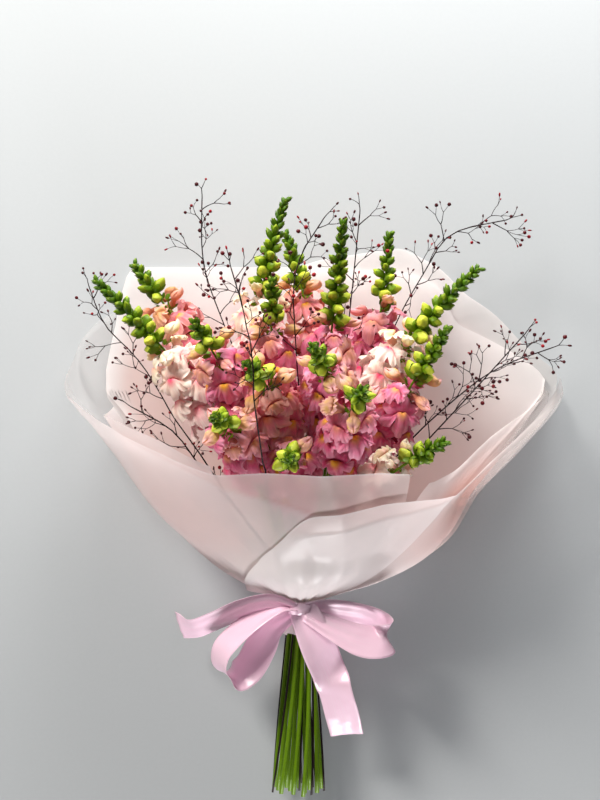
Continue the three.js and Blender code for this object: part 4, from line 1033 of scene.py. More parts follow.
FLORETS_PER_HEAD = 18
FLORET_SIZES = (0.94, 1.08)
FLORET_LIFTS = (0.15, 0.7)  # how far it points up along its stem, in radians
FLORET_ROLL = 0.35
FLORET_TURNS = (0, 0.3, -0.3, 0.6, -0.6)
CLOSED_FLORETS = 3  # of each head, between its buds and its open florets
# How far a floret is open, by its number from the buds down.
OPENED = ((0, 0), (CLOSED_FLORETS - 1, 0.2), (CLOSED_FLORETS, 0.5), (CLOSED_FLORETS + 2, 1))


@lru_cache(maxsize=1)
def florets():
    """Every floret: its head, size, root, axes, how far it is open and how deep its colour is."""
    stalks, _, _ = layout()
    rng = np.random.default_rng(FLORET_SEED)
    found = []
    for head, (_, _, bud, bloom, _) in enumerate(SNAPDRAGONS):
        for k in range(FLORETS_PER_HEAD):
            share = k / (FLORETS_PER_HEAD - 1)
            station = stalks[head].from_tip(bud + 1 + (bloom + 8) * share)
            wanted = k * GOLDEN_ANGLE + head
            lift = rng.uniform(*FLORET_LIFTS)
            tried = [fit_floret(head, station, wanted + shift, lift) for shift in FLORET_TURNS]
            scale, root, (forward, up, across) = max(tried, key=lambda one: one[0])
            age = np.clip(share + rng.uniform(-0.22, 0.2), 0, 1)
            tone = age * smooth((k + 0.5) / CLOSED_FLORETS)
            roll = rng.uniform(-FLORET_ROLL, FLORET_ROLL)
            if scale:
                rolled = np.stack([forward, round_axis(up, across, roll), round_axis(across, up, -roll)])
                found.append((head, scale, root, rolled, between(OPENED, k), tone))
    return found


# Buds and leaves

BUD_ROWS = 9
BUD_COLUMNS = 14
SEPALS = 5
BUD_LENGTHS = (8, 19)  # at the tip of a head and above its florets
BUD_RADII = (3.2, 7.6)
BUD_PITCHES = (1.9, 4.6)  # from one bud to the next
BUD_NOD = 0.14  # how far a bud's tip hangs, as a share of its length
BUD_LIPS = ((2, 0.13), (5, 0.09))  # how many lobes show through its skin, and how deep they are
LEAVES = ((8, 30), (26, 40), (42, 44), (60, 46))  # below the bloom, and length
LEAF_WIDTH = 9


def frame_about(axis):
    """Two directions square to an axis."""
    first = unit(np.cross(axis, [0.3, 0.2, 1]))
    return first, np.cross(axis, first)


def ring_turns(count):
    """The turns of a number of places spread evenly round an axis."""
    return 2 * np.pi * np.arange(count) / count


def placed(root, *terms):
    """Corners at a root, moved along each direction by its distances."""
    return root + sum(way * distance[..., None] for way, distance in terms)


def bud_profile(z, ripe):
    """A bud's radius at shares of its length: pointed while it is young, plump when it is ripe."""
    peak = 0.62 + 0.28 * ripe
    return np.sin(np.pi * np.clip(z, 0.02, 0.985) ** (0.78 + 0.14 * ripe)) ** (0.85 - 0.25 * ripe) * peak


def add_bud(build, rng, root, axis, length, radius, ripe, upward):
    """A closed bud: a plump folded flower held by five pointed green sepals that stand off it."""
    across = unit(np.cross(axis, upward))
    top = np.cross(across, axis)
    turns = ring_turns(BUD_COLUMNS)
    z = np.linspace(0.0, 1, BUD_ROWS)[:, None]
    turn = rng.uniform(0, 2 * np.pi)
    folds = sum(depth * np.cos(lobes * (turns - turn)) for lobes, depth in BUD_LIPS)
    out = radius * bud_profile(z, ripe) * (1 + smooth((z - 0.2) / 0.5) * folds)
    points = placed(root, (axis, z * length), (top, -BUD_NOD * length * z**2),
                    (across, out * np.cos(turns)), (top, out * np.sin(turns)))
    tone = rng.uniform(0, 1)
    build.grid(points, share=z, mark=ripe, tone=tone, closed=True, cap=True)
    s = np.linspace(0, 1, 6)[:, None]
    wide = 0.74 * np.sin(np.pi * (0.2 + 0.79 * s)) ** 0.6 * np.array([-1, 0, 1])
    stand_off = 0.06 * s**2 + 0.1 * s * np.array([0, 1, 0])
    for middle in ring_turns(SEPALS):
        height = s * (0.88 - 0.24 * ripe) * rng.uniform(0.9, 1.1)
        shell = radius * bud_profile(np.clip(height, 0.05, 0.8), ripe) * 1.04 + 0.3 + radius * stand_off
        around = middle + turn + wide
        points = placed(root, (axis, height * length), (top, -BUD_NOD * length * height**2),
                        (across, shell * np.cos(around)), (top, shell * np.sin(around)))
        build.grid(points, share=0.3 * s, mark=ripe * 0.35, tone=tone * 0.6)


def add_leaf(build, rng, root, along, out, length, width):
    """A narrow pointed leaf, folded along its middle and bent outwards."""
    s = np.linspace(0, 1, 10)[:, None]
    a = np.linspace(-1, 1, 5)
    half = width / 2 * np.sin(np.pi * (0.06 + 0.93 * s)) ** 0.75
    points = placed(root, (unit(along * 0.85 + out * 0.5), s * length), (out, 0.22 * length * s**2),
                    (np.cross(along, out), half * a), (along, 0.25 * half * np.abs(a)))
    build.grid(points, share=s, mark=0.1, tone=rng.uniform(0.1, 0.6))


def add_calyx(build, rng, root, axes, scale):
    """The five green sepals at the root of an open floret."""
    forward, up, across = axes
    s = np.linspace(0, 1, 4)[:, None]
    wide = 0.6 * np.sin(np.pi * (0.15 + 0.83 * s)) * np.array([-1, 0, 1])
    out = (2.6 + 2.8 * smooth(s * 1.2) + 0.8 * s**2) * max(scale, 0.6)
    for turn in ring_turns(SEPALS):
        around = turn + wide
        points = placed(root, (forward, 7.5 * s * scale), (up, out * np.cos(around)),
                        (across, out * np.sin(around)))
        build.grid(points, share=0.2 * s, mark=0.25, tone=rng.uniform(0.1, 0.6))


def bud_distances(bud):
    """How far each bud of a head is from its tip, closer together towards the tip."""
    found = []
    at = 1.0
    while at < bud:
        found.append(at)
        at += np.interp(at / bud, (0, 1), BUD_PITCHES)
    return found


def add_buds(build, rng, stalk, bud):
    """The buds of a head, from its tip down to its florets."""
    for k, distance in enumerate(bud_distances(bud)):
        size = distance / bud
        place, along, side, lift = stalk.from_tip(distance)
        out = round_axis(side, lift, k * GOLDEN_ANGLE)
        axis = round_axis(along, out, 0.3 + 0.75 * size + rng.uniform(-0.22, 0.22))
        length = np.interp(size, (0, 1), BUD_LENGTHS) * rng.uniform(0.85, 1.12)
        radius = np.interp(size, (0, 1), BUD_RADII) * rng.uniform(0.85, 1.1)
        ripe = float(np.clip(smooth(size * 1.1 - 0.12) + rng.uniform(-0.12, 0.12), 0, 1))
        add_bud(build, rng, place + out, axis, length, radius, ripe, along)


def stem_radii(stalk):
    """The stem's radius at each of its points."""
    share = np.clip((stalk.points[:, 1] - TIE_Y) / STEM_TAPER, 0, 1)
    return STEM_RADIUS + (STEM_TIP_RADIUS - STEM_RADIUS) * share


# Berry sprays

SPRAY_SIDES = 6
TWIG_SIDES = 4
BERRY_SIDES = 8
TWIG_RADIUS = 0.62
BERRY_RADII = (1.3, 2.4)
NARROW_RADII = (0.8, 1.2)
NARROW_SHARE = 0.5  # of the twigs that end in a narrow dry bud and not in a berry
TWIG_BEND = 0.22  # as a share of a twig's length
TWIG_TAPER = 0.72
FORKS_IN_TWO = 0.75  # the share of forks with two twigs, where the others have three
SPRAY_TWIG_PITCH = 15
TWIG_LENGTHS = (11, 19)
TWIG_LEANS = (0.8, 1.5)  # how far side twigs lean out from the stem
FIRST_TWIG = 9.0  # from the tip of a spray
TIP_TWIG = 13  # the length of the twig at the very tip
SPRAY_TAPER = 250  # above the tie, over which a spray's stem thins
FORK_TURN = 2.3  # from one twig of a fork to the next
FORK_LEANS = (0.4, 0.85)
FORK_LENGTHS = (0.6, 0.85)  # as shares of the twig before the fork
SPRAY_BRANCHED = 150  # how far down from its tip a spray is branched


def add_berry(build, rng, place, way, radius, stretch):
    """A berry on the end of a twig, round or stretched to a narrow bud."""
    first, second = frame_about(way)
    turns = ring_turns(BERRY_SIDES)
    lat = np.linspace(0.08, 0.92, 6)[:, None]
    out = radius * np.sin(np.pi * lat)
    up = radius * stretch * (1 - np.cos(np.pi * lat))
    points = placed(place, (way, up), (first, out * np.cos(turns)), (second, out * np.sin(turns)))
    build.grid(points, share=lat, mark=1.0, tone=rng.uniform(0, 1), closed=True, cap=True)


def add_twig(build, rng, start, way, length, radius, forks):
    """A thin bent twig that forks again, or ends in a berry."""
    first, second = frame_about(way)
    bend = (first * rng.uniform(-1, 1) + second * rng.uniform(-1, 1)) * TWIG_BEND * length
    t = np.linspace(0, 1, 5)[:, None]
    line = start + way * length * t + bend * (t * t - 0.4 * t)
    end_radius = radius * TWIG_TAPER
    build.tube(line, np.linspace(radius, end_radius, 5), TWIG_SIDES, tone=rng.uniform(0, 1))
    tip = line[-1]
    tip_way = unit(line[-1] - line[-2])
    if forks == 0:
        narrow = rng.random() < NARROW_SHARE
        size = rng.uniform(*(NARROW_RADII if narrow else BERRY_RADII))
        add_berry(build, rng, tip, tip_way, size, 2.0 if narrow else 1.0)
        return
    first, second = frame_about(tip_way)
    turn = rng.uniform(0, 2 * np.pi)
    for k in range(2 if rng.random() < FORKS_IN_TWO else 3):
        out = round_axis(first, second, turn + k * FORK_TURN)
        next_way = unit(tip_way + out * rng.uniform(*FORK_LEANS))
        next_length = length * rng.uniform(*FORK_LENGTHS)
        add_twig(build, rng, tip, next_way, next_length, end_radius, forks - 1)


def add_spray(build, rng, stalk):
    """A spray: its stem from the cut end to its tip, and its forked twigs."""
    share = np.clip((stalk.points[:, 1] - TIE_Y) / SPRAY_TAPER, 0, 1)
    build.tube(stalk.points, SPRAY_RADIUS + (TWIG_RADIUS - SPRAY_RADIUS) * share, SPRAY_SIDES, tone=0.3)
    place, along, _, _ = stalk.from_tip(0)
    add_twig(build, rng, place, along, TIP_TWIG, TWIG_RADIUS, 1)
    distance = FIRST_TWIG
    k = 0
    while distance < SPRAY_BRANCHED:
        place, along, side, lift = stalk.from_tip(distance)
        out = round_axis(side, lift, k * GOLDEN_ANGLE)
        length = rng.uniform(*TWIG_LENGTHS)
        way = unit(along + out * rng.uniform(*TWIG_LEANS))
        add_twig(build, rng, place, way, length, TWIG_RADIUS, 2)
        distance += SPRAY_TWIG_PITCH * rng.uniform(0.8, 1.2)
        k += 1


# The wrap

SHEET_COLUMN = 1.5  # degrees from one column of corners to the next
SHEET_ROWS = 72
GATHERS = 24
GATHER_DEPTH = 0.85
GATHER_FADE = 55  # above the tie, where they are down to about a third
SKIRT_WAVES = 14
SKIRT_WAVE_DEPTH = 2.4
CREASE_DEPTH = 2.2
FOLD_DEPTH = 1.4
CRUMPLED = (95, 40)  # the turn where the film is crumpled most, and how far to the sides


def ridge(x):
    """A wave with sharp crests, between -1 and 1."""
    return 2 * np.abs(2 * (x / (2 * np.pi) % 1) - 1) - 1


def wrap_relief(turn, h):
    """How far the film's gathers and creases stand off its bowl. Every sheet shares them, so that
    the sheets never pass through each other."""
    t = np.radians(turn)
    near = np.exp(-np.maximum(0, h) / GATHER_FADE)
    gathers = GATHER_DEPTH * np.cos(GATHERS * t + 0.6 * np.sin(3 * t)) * near
    skirt = SKIRT_WAVE_DEPTH * smooth((-h - 10) / 30) * np.cos(SKIRT_WAVES * t + 1.1 * np.sin(2 * t))
    fade = smooth((h - 10) / 50) * (1 - 0.6 * smooth((h - 120) / 120))
    crumpled = 1 + 0.8 * hill(turn - CRUMPLED[0], CRUMPLED[1])
    crease = CREASE_DEPTH * crumpled * ridge(9 * t + h / 26 + np.sin(2 * t)) * fade
    fold = FOLD_DEPTH * ridge(5 * t - h / 38 + 1.3) * fade
    return gathers + skirt + crease + fold


CURL_DEPTH = 20  # how far down from its rim a sheet curls
RIM_SOFTENING = (-2, -1, 0, 1, 2)  # degrees to the sides over which the rim's height is averaged
SLANT_MOST = 9  # degrees
FOLD_STEP = 0.9  # how far the doubled part of a folded sheet stands off
DOUBLED_PAINTED_TINT = 0.25  # the share of the painted pink and shade of the flowers that is left on it
SHEER_PAINTED_TINT = 0.5  # the share of the painted pink and shade of the flowers that is left on a wing
NO_WING = (400, 500, 0, 1)  # turns that no sheet reaches
# The shares of light that glow through a film and that pass straight through its middle and wings.
SINGLE_FILM = (0.36, 0.2, 0.72)
DOUBLE_FILM = (0.3, 0.1, 0.5)


def sheet_surface(layer, rim, flare, pink, curl=((0, 0),), slant=0, fold=None, wing=NO_WING):
    """The corners of one sheet of the wrap, and how much painted pink and shade of the flowers it has
    and how sheer it is at each of them."""
    count = round((rim[-1][0] - rim[0][0]) / SHEET_COLUMN) + 1
    turn = np.linspace(rim[0][0], rim[-1][0], count)[None, :]
    top = sum(between(rim, turn + shift) for shift in RIM_SOFTENING) / len(RIM_SOFTENING)
    share = np.linspace(0, 1, SHEET_ROWS)[:, None]
    h = -WRAP_SKIRT + (top + WRAP_SKIRT) * share
    turn = turn + np.minimum(slant * (top - h), SLANT_MOST) * smooth((turn - turn[0, -1] + 30) / 30)
    lean = between(flare, turn) * smooth((h - 0.45 * top) / (0.55 * top))
    lean = lean + between(curl, turn) * np.clip(1 - (top - h) / CURL_DEPTH, 0, 1) ** 2
    most, middle, width, full = pink
    # Painted light and shade of the flowers, most at one turn and fading to the sides, at the rim and low
    # down
    painted_flower_tint = most * hill(turn - middle, width) * smooth((top - h) / full) * smooth((h - 20) / 60)
    if fold:
        below = smooth((between(fold, turn) - h) / 3 + 0.5)
        lean = lean + FOLD_STEP * below * smooth(h / 40)
        # The doubled part below the fold keeps less of the painted pink and shade
        painted_flower_tint = painted_flower_tint * (1 - (1 - DOUBLED_PAINTED_TINT) * below)
    start, end, low, high = wing
    sheer = smooth((turn - start) / (end - start)) * smooth((h - low) / (high - low))
    # A sheer wing keeps less of the painted pink and shade
    painted_flower_tint = painted_flower_tint * (1 - (1 - SHEER_PAINTED_TINT) * sheer)
    return on_wrap(turn, h, layer, lean + WRAP_THICKNESS / 2 + wrap_relief(turn, h)), painted_flower_tint, sheer


# Twine and ribbon

TWINE_STEPS = 48  # round each turn
TWINE_GAP = 0.3  # to the bundle of stems
BUNDLE_SLACK = 1.05
RIBBON_COLUMNS = 15
RIBBON_STEPS = 9  # between two rows of a strip
RIBBON_FOLDS = 3.2  # how deep its lengthwise folds are where it is drawn together
RIBBON_CURL = 1.2
BAND_ROWS = 121  # of corners round the wrap
BAND_COLUMNS = 7
KNOT_ROWS = 49
KNOT_COLUMNS = 11
KNOT_SIZE = (11, 7, 5.2)


def strip_surface(rows):
    """The corners of a strip of ribbon along rows of (place, way across, share of its width)."""
    numbers = catmull([(*place, *across, share) for place, across, share in rows], RIBBON_STEPS)
    places, across, share = numbers[:, :3] + [0, 0, KNOT_Z], numbers[:, 3:6], numbers[:, 6]
    along = Stalk(places).along
    wide = unit(across - (across * along).sum(1, keepdims=True) * along)
    thick = np.cross(along, wide)
    v = np.linspace(-1, 1, RIBBON_COLUMNS)
    gather = (1 - share)[:, None] * RIBBON_FOLDS * np.cos(2.6 * np.pi * v)
    curl = RIBBON_CURL * (v * v - 0.4)
    return placed(places[:, None], (wide[:, None], v * share[:, None] * RIBBON_WIDTH / 2),
                  (thick[:, None], gather + curl))


WRAP_OUTSIDE = GATHER_RADIUS + (WRAP_LAYERS - 1) * WRAP_PITCH + WRAP_THICKNESS  # in the tie
BAND_GAP = 0.35
BAND_SIDES = 16
BAND_THICKNESS = 1.6
BAND_INNER = (WRAP_OUTSIDE + BAND_GAP) / math.cos(math.pi / BAND_SIDES)
KNOT_Y = TIE_Y - 3
KNOT_Z = TIE_HEIGHT + BAND_INNER + BAND_THICKNESS + 4
LEFT_OUT = (0.5, -0.2, 0.84)
LEFT_BACK = (0.78, -0.35, 0.5)
RIGHT_OUT = (0.15, 0.8, 0.58)
RIGHT_BACK = (0.1, 0.85, -0.5)
# Each strip of the ribbon: rows of a place, with its height from the middle of the knot, the way
# across the ribbon and the share of its width.
RIBBON_STRIPS = {
    "left_loop": (
        ((-5, KNOT_Y + 1, 0), LEFT_OUT, 0.45), ((-22, -7, 5), LEFT_OUT, 0.7),
        ((-44, -17, 7), LEFT_OUT, 0.9), ((-66, -34, 6), LEFT_OUT, 1),
        ((-83, -54, 1), LEFT_OUT, 1), ((-85, -73, -4), LEFT_OUT, 1),
        ((-71, -83, -9), LEFT_BACK, 1), ((-55, -73, -10), LEFT_BACK, 1),
        ((-42, -50, -8), LEFT_BACK, 1), ((-31, -29, -5), LEFT_BACK, 0.85),
        ((-5, KNOT_Y - 1, -2), LEFT_BACK, 0.45),
    ),
    "right_loop": (
        ((5, KNOT_Y + 1, -3), RIGHT_OUT, 0.6), ((28, -10, -5), RIGHT_OUT, 0.8),
        ((52, -13, -5), RIGHT_OUT, 0.85), ((76, -19, -3), RIGHT_OUT, 0.9),
        ((91, -31, 5), (0.1, 0.98, 0.1), 0.95), ((86, -40, 13), RIGHT_BACK, 1),
        ((66, -40, 14), RIGHT_BACK, 0.95), ((40, -30, 9), RIGHT_BACK, 0.75),
        ((6, KNOT_Y - 3, 2), RIGHT_BACK, 0.45),
    ),
    "left_tail": (
        ((-5, KNOT_Y + 2, 0), (-0.1, 0.7, 0.7), 0.5),
        ((-30, -2, 5), (-0.3, 0.75, 0.6), 0.7),
        ((-60, -8, 3), (-0.45, 0.62, 0.64), 0.8),
        ((-88, -22, -8), (-0.35, 0.6, 0.72), 0.85),
        ((-112, -33, -24), (-0.1, 0.6, 0.79), 0.9),
        ((-132, -33, -40), (0.2, 0.75, 0.63), 0.9),
    ),
    "right_tail": (
        ((2, KNOT_Y + 3, 1), (0.98, 0.15, 0.1), 0.8),
        ((9, -22, 4), (0.96, 0.25, 0.1), 0.9),
        ((20, -50, 1), (0.93, 0.33, -0.1), 1),
        ((31, -78, -8), (0.9, 0.35, -0.25), 1),
        ((38, -98, -8), (0.9, 0.25, 0.35), 1),
        ((45, -124, -16), (0.93, 0.2, 0.3), 1),
        ((51, -150, -30), (0.95, 0.15, 0.2), 0.95),
    ),
}


def band_surface():
    """The ribbon drawn together round the wrap, in lengthwise folds."""
    t = np.linspace(0, 2 * np.pi, BAND_ROWS)[:, None]
    v = np.linspace(-1, 1, BAND_COLUMNS)
    out = BAND_INNER + BAND_THICKNESS / 2 + 0.5 * np.cos(3 * np.pi * v) + 0.2 * np.sin(9 * t + 2 * v)
    y = TIE_Y + v * BAND_WIDTH / 2 + 0.4 * np.sin(3 * t)
    return np.stack([out * np.sin(t), y + 0 * t, TIE_HEIGHT + out * np.cos(t)], axis=-1)


def knot_surface():
    """The ribbon's turn round the knot, plump and folded."""
    long, high, deep = KNOT_SIZE
    t = np.linspace(0, 2 * np.pi, KNOT_ROWS)[:, None]
    v = np.linspace(-1, 1, KNOT_COLUMNS)
    plump = 1 - 0.3 * v**2
    folds = 1 + 0.07 * np.cos(3.4 * np.pi * v + 0.6 * np.sin(t))
    x = long * v + 1.2 * np.sin(2 * t)
    y = KNOT_Y + 2 + high * plump * folds * np.cos(t)
    z = KNOT_Z + deep * plump * folds * np.sin(t)
    return np.stack([x, y, z], axis=-1)


# Sizes and colours that a user would change


class BouquetSizes(bpy.types.PropertyGroup):
    """Sizes of the finer pieces, in metres."""

    ribbon_thickness: bpy.props.FloatProperty(
        name="Ribbon thickness", description="Thickness of the satin ribbon",
        default=0.0004, unit="LENGTH")
    twine_radius: bpy.props.FloatProperty(
        name="Twine radius", description="Radius of one turn of the binding twine",
        default=TWINE_RADIUS * MM, unit="LENGTH")
    leaf_width: bpy.props.FloatProperty(
        name="Leaf width", description="Widest part of a stem leaf",
        default=LEAF_WIDTH * MM, unit="LENGTH")
    floor_size: bpy.props.FloatProperty(
        name="Floor size", description="Side of the floor under the bouquet",
        default=12.0, unit="LENGTH")


def colour_property(name, description, colour):
    """A colour that a user would change, from its sRGB hex value."""
    return bpy.props.FloatVectorProperty(
        name=name, description=description, subtype="COLOR", size=3, min=0, max=1,
        default=linear(colour))


class BouquetColours(bpy.types.PropertyGroup):
    """Colours of the petals, greens, berries, wrap and ribbon."""

    leaf_green: colour_property("Leaf green", "Young buds, stems and leaves", "#4a7806")
    lime: colour_property("Lime", "Half-ripe buds", "#96b90f")
    pale_lime: colour_property("Pale lime", "The ripest buds", "#d9dd50")
    twig: colour_property("Twig", "Twigs of the berry sprays", "#1d0809")
    berry: colour_property("Berry", "Most of the berries", "#430911")
    berry_bright: colour_property("Bright berry", "A few brighter berries", "#981823")
    film: colour_property("Film", "Face of the frosted wrap", "#f8f5f5")
    # The tints beside the flowers are painted light and shade: their pink seen through the film, their
    # pink light and their shadow
    film_painted_flower_tint: colour_property("Film blush", "Face of the wrap beside the flowers", "#e2b2a8")
    film_glow: colour_property("Film glow", "Light that comes through the wrap", "#f5e6e5")
    # Painted light and shade of the flowers, in the light through the film
    film_glow_painted_tint: colour_property("Glow blush", "Light through it beside the flowers", "#e5a497")
    ribbon: colour_property("Ribbon", "Satin ribbon", "#fdcde6")
    # Painted sheen of the satin's threads
    ribbon_painted_sheen: colour_property("Ribbon shine", "Threads that catch the light", "#ffecf6")
    twine: colour_property("Twine", "Jute twine", "#c3a673")
    # Painted shade between the twine's plies
    twine_painted_shade: colour_property("Dark twine", "Between the twine's plies", "#7d6540")
    floor: colour_property("Floor", "Studio floor", "#b1b5b8")


# The parts of a petal that have a colour of their own, and that colour in each kind of head.
PETAL_PARTS = {
    "young": "Closed florets",
    "middle": "Middle of the petals",
    "deep": "The lowest petals",
    "edge": "Ruffled edge of the petals",
    "throat": "Throat of the florets",
    # The throat colour is partly the petal's own deeper colour and partly painted shade
    "palate": "Palate of the florets",
}
PETAL_COLOURS = {
    "pink": ("#e9c478", "#f87fad", "#e8487f", "#fcbfd2", "#a3123f", "#f0b038"),
    "cream": ("#f0e6a0", "#fdf2d8", "#f4a9bc", "#fffbf0", "#ee8fa0", "#ef3f70"),
    "peach": ("#e2b272", "#f3919d", "#e9638c", "#fdcabd", "#c9683f", "#f0b038"),
}
for kind, colours in PETAL_COLOURS.items():
    for (part, text), colour in zip(PETAL_PARTS.items(), colours):
        BouquetColours.__annotations__[f"{kind}_{part}"] = colour_property(
            f"{kind.title()} {part}", f"{text} of a {kind} head", colour)


# Operators


class BOUQUET_OT_stems(bpy.types.Operator):
    """Makes each snapdragon's stem with its leaves, sepals and green buds"""

    bl_idname = "bouquet.stems"
    bl_label = "Stems and buds"

    def execute(self, context):
        c = context.scene.bouquet_colours
        sizes = context.scene.bouquet_sizes
        material = green("Fresh snapdragon green", c.leaf_green, c.lime, c.pale_lime)
        stalks, _, _ = layout()
        rng = np.random.default_rng(BUD_SEED)
        for head, (_, _, bud, bloom, _) in enumerate(SNAPDRAGONS):
            build = Build()
            stalk = stalks[head]
            build.tube(stalk.points, stem_radii(stalk), STEM_SIDES, mark=0.25, tone=0.5)
            add_buds(build, rng, stalk, bud)
            for k, (below, length) in enumerate(LEAVES):
                place, along, side, lift = stalk.from_tip(bud + bloom + below)
                out = round_axis(side, lift, head + k * GOLDEN_ANGLE)
                add_leaf(build, rng, place, along, out, length, sizes.leaf_width / MM)
            for owner, scale, root, axes, _, _ in florets():
                if owner == head:
                    add_calyx(build, rng, root, axes, scale)
            name = f"snapdragon_{head + 1}_stem"
            build.piece(name + "_and_buds", material, [name])
        return {"FINISHED"}


class BOUQUET_OT_florets(bpy.types.Operator):
    """Makes each snapdragon's open florets"""

    bl_idname = "bouquet.florets"
    bl_label = "Florets"

    def execute(self, context):
        c = context.scene.bouquet_colours
        petals = {}
        for kind in PETAL_COLOURS:
            colours = [getattr(c, f"{kind}_{part}") for part in PETAL_PARTS]
            petals[kind] = petal(f"{kind.title()} snapdragon petal", *colours)
        rng = np.random.default_rng(PETAL_SEED)
        for head, (*_, colour) in enumerate(SNAPDRAGONS):
            build = Build()
            for owner, scale, root, axes, opened, tone in florets():
                if owner == head:
                    points, rim, palate_share = floret_surface(rng, opened, rng.uniform(*FLORET_SIZES))
                    build.grid(root + scale * points @ axes, rim, palate_share, tone, closed=True)
            if build.count == 0:
                raise RuntimeError(f"head {head + 1} has no florets")
            name = f"snapdragon_{head + 1}_florets"
            build.piece(name + "_petals", petals[colour], [name])
        return {"FINISHED"}


class BOUQUET_OT_sprays(bpy.types.Operator):
    """Makes the sprays of dark berries"""

    bl_idname = "bouquet.sprays"
    bl_label = "Berry sprays"

    def execute(self, context):
        c = context.scene.bouquet_colours
        material = dried_berry("Dark berry twig", c.twig, c.berry, c.berry_bright)
        _, sprays, _ = layout()
        rng = np.random.default_rng(SPRAY_SEED)
        for number, stalk in enumerate(sprays):
            build = Build()
            add_spray(build, rng, stalk)
            name = f"berry_spray_{number + 1}"
            build.piece(name + "_twigs", material, [name])
        return {"FINISHED"}


class BOUQUET_OT_wrap(bpy.types.Operator):
    """Makes the sheets of frosted film"""

    bl_idname = "bouquet.wrap"
    bl_label = "Wrap"

    def execute(self, context):
        c = context.scene.bouquet_colours
        colours = ((c.film, c.film_painted_flower_tint), (c.film_glow, c.film_glow_painted_tint))
        single = frosted_film("Frosted polypropylene film", *colours, *SINGLE_FILM)
        double = frosted_film("Doubled frosted film", *colours, *DOUBLE_FILM)
        for name, sheet in SHEETS.items():
            points, painted_flower_tint, sheer = sheet_surface(**sheet)
            build = Build()
            build.grid(points, mark=painted_flower_tint, tone=sheer)
            film = double if name in DOUBLED else single
            made = build.piece(name + "_film", film, [name])
        return {"FINISHED"}


class BOUQUET_OT_ribbon(bpy.types.Operator):
    """Makes the satin ribbon: the band round the wrap, the knot, two loops and two tails"""

    bl_idname = "bouquet.ribbon"
    bl_label = "Ribbon"

    def execute(self, context):
        c = context.scene.bouquet_colours
        material = satin("Pink polyester satin", c.ribbon, c.ribbon_painted_sheen)
        surfaces = [strip_surface(rows) for rows in RIBBON_STRIPS.values()]
        surfaces += [band_surface(), knot_surface()]
        build = Build()
        for points in surfaces:
            build.grid(points)
        made = build.piece("satin_ribbon", material, ["ribbon"])
        shell = made.modifiers.new("Thickness", "SOLIDIFY")
        shell.thickness = context.scene.bouquet_sizes.ribbon_thickness
        shell.offset = 0
        return {"FINISHED"}


class BOUQUET_OT_twine(bpy.types.Operator):
    """Makes the turns of twine that bind the stems inside the wrap"""

    bl_idname = "bouquet.twine"
    bl_label = "Twine"

    def execute(self, context):
        c = context.scene.bouquet_colours
        radius = context.scene.bouquet_sizes.twine_radius / MM
        _, _, bundle = layout()
        turns = TWINE_WIDTH / (2 * radius)
        t = np.linspace(0, 2 * np.pi * turns, round(TWINE_STEPS * turns))
        out = bundle * BUNDLE_SLACK + TWINE_GAP + radius
        y = TIE_Y - radius * t / np.pi
        line = np.stack([out * np.sin(t), y, TIE_HEIGHT + out * np.cos(t)], axis=-1)
        build = Build()
        build.tube(line, radius * 0.98, STEM_SIDES)
        material = jute("Jute twine", c.twine, c.twine_painted_shade)
        build.piece("binding_twine", material, ["twine"])
        return {"FINISHED"}


CAMERA_HEIGHT = 1500
CAMERA_Y = 213  # over the middle of the wrapped flowers
LENS = 60
SENSOR = 36
# Each lamp's name, place from the middle of the flowers, size, power and colour
LAMPS = (
    ("key_light", (-1.4, 1.6, 1.5), 0.7, 84, (1.0, 0.96, 0.9)),
    ("back_light", (0.3, 1.4, 0.45), 0.8, 38, (1.0, 0.99, 0.97)),
    ("front_light", (0.2, -2.0, 0.28), 0.45, 39, (1.0, 0.98, 0.98)),
    ("top_light", (0.0, 0.1, 2.4), 1.4, 6, (0.95, 0.97, 1.0)),
)
AIM_HEIGHT = 0.1  # of the place that they all point at, in metres
WORLD_COLOUR = (0.93, 0.96, 1.0, 1)
WORLD_STRENGTH = 0.05
FLOOR_DROP = 0.0006  # in metres, so that it doesn't touch what lies on it


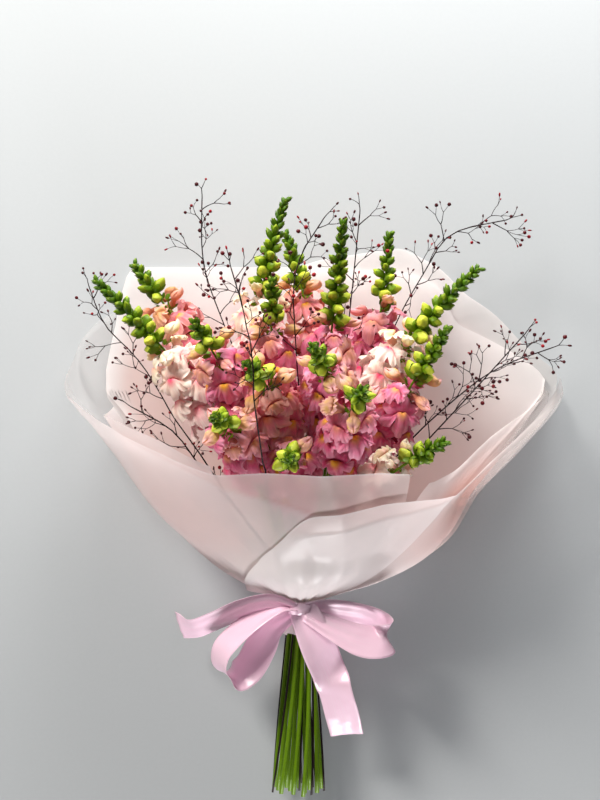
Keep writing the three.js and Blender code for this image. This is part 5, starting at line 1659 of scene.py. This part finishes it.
class BOUQUET_OT_stage(bpy.types.Operator):
    """Makes the floor, the soft studio lights and the camera that looks straight down"""

    bl_idname = "bouquet.stage"
    bl_label = "Floor, lights and camera"

    def execute(self, context):
        scene = context.scene
        half = scene.bouquet_sizes.floor_size / 2
        corners = [(-half, -half, 0), (half, -half, 0), (half, half, 0), (-half, half, 0)]
        mesh = bpy.data.meshes.new("floor")
        mesh.from_pydata(corners, [], [(0, 1, 2, 3)])
        mesh.materials.append(studio_floor("Pale matt floor", scene.bouquet_colours.floor))
        floor = bpy.data.objects.new("floor", mesh)
        floor.location.z = -FLOOR_DROP
        scene.collection.objects.link(floor)
        middle = frame_shift() + np.array([0, CAMERA_Y, 0]) * MM
        for name, offset, size, power, colour in LAMPS:
            data = bpy.data.lights.new(name, "AREA")
            data.size = size
            data.energy = power
            data.color = colour
            lamp = bpy.data.objects.new(name, data)
            lamp.location = middle + np.array(offset)
            way = Vector([-part for part in offset]) + Vector((0, 0, AIM_HEIGHT))
            lamp.rotation_mode = "QUATERNION"
            lamp.rotation_quaternion = way.to_track_quat("-Z", "Y")
            scene.collection.objects.link(lamp)
        world = bpy.data.worlds.new("soft_room")
        world.use_nodes = True
        background = world.node_tree.nodes["Background"]
        background.inputs["Color"].default_value = WORLD_COLOUR
        background.inputs["Strength"].default_value = WORLD_STRENGTH
        scene.world = world
        scene.view_settings.view_transform = "Standard"
        data = bpy.data.cameras.new("camera")
        data.lens = LENS
        data.sensor_width = SENSOR
        camera = bpy.data.objects.new("camera", data)
        camera.location = middle + np.array([0, 0, CAMERA_HEIGHT]) * MM
        scene.collection.objects.link(camera)
        scene.camera = camera
        return {"FINISHED"}


class BOUQUET_PT_panel(bpy.types.Panel):
    """Lists the bouquet's pieces"""

    bl_idname = "BOUQUET_PT_panel"
    bl_label = "Snapdragon bouquet"
    bl_space_type = "VIEW_3D"
    bl_region_type = "UI"
    bl_category = "Bouquet"

    def draw(self, context):
        for operator in OPERATORS:
            self.layout.operator(operator.bl_idname)
        for group in (context.scene.bouquet_sizes, context.scene.bouquet_colours):
            for name in group.__annotations__:
                self.layout.prop(group, name)


OPERATORS = (
    BOUQUET_OT_stage,
    BOUQUET_OT_stems,
    BOUQUET_OT_florets,
    BOUQUET_OT_sprays,
    BOUQUET_OT_ribbon,
    BOUQUET_OT_wrap,
    BOUQUET_OT_twine,
)
CLASSES = (BouquetSizes, BouquetColours, *OPERATORS, BOUQUET_PT_panel)


def register():
    """Registers the classes and adds their settings to the scene."""
    for cls in CLASSES:
        bpy.utils.register_class(cls)
    bpy.types.Scene.bouquet_sizes = bpy.props.PointerProperty(type=BouquetSizes)
    bpy.types.Scene.bouquet_colours = bpy.props.PointerProperty(type=BouquetColours)


def unregister():
    """Takes the settings and classes away again."""
    del bpy.types.Scene.bouquet_colours
    del bpy.types.Scene.bouquet_sizes
    for cls in reversed(CLASSES):
        bpy.utils.unregister_class(cls)


def main():
    """Makes the whole bouquet."""
    register()
    bpy.ops.bouquet.stage()
    bpy.ops.bouquet.stems()
    bpy.ops.bouquet.florets()
    bpy.ops.bouquet.sprays()
    bpy.ops.bouquet.wrap()
    bpy.ops.bouquet.ribbon()
    bpy.ops.bouquet.twine()


if __name__ == "__main__":
    main()
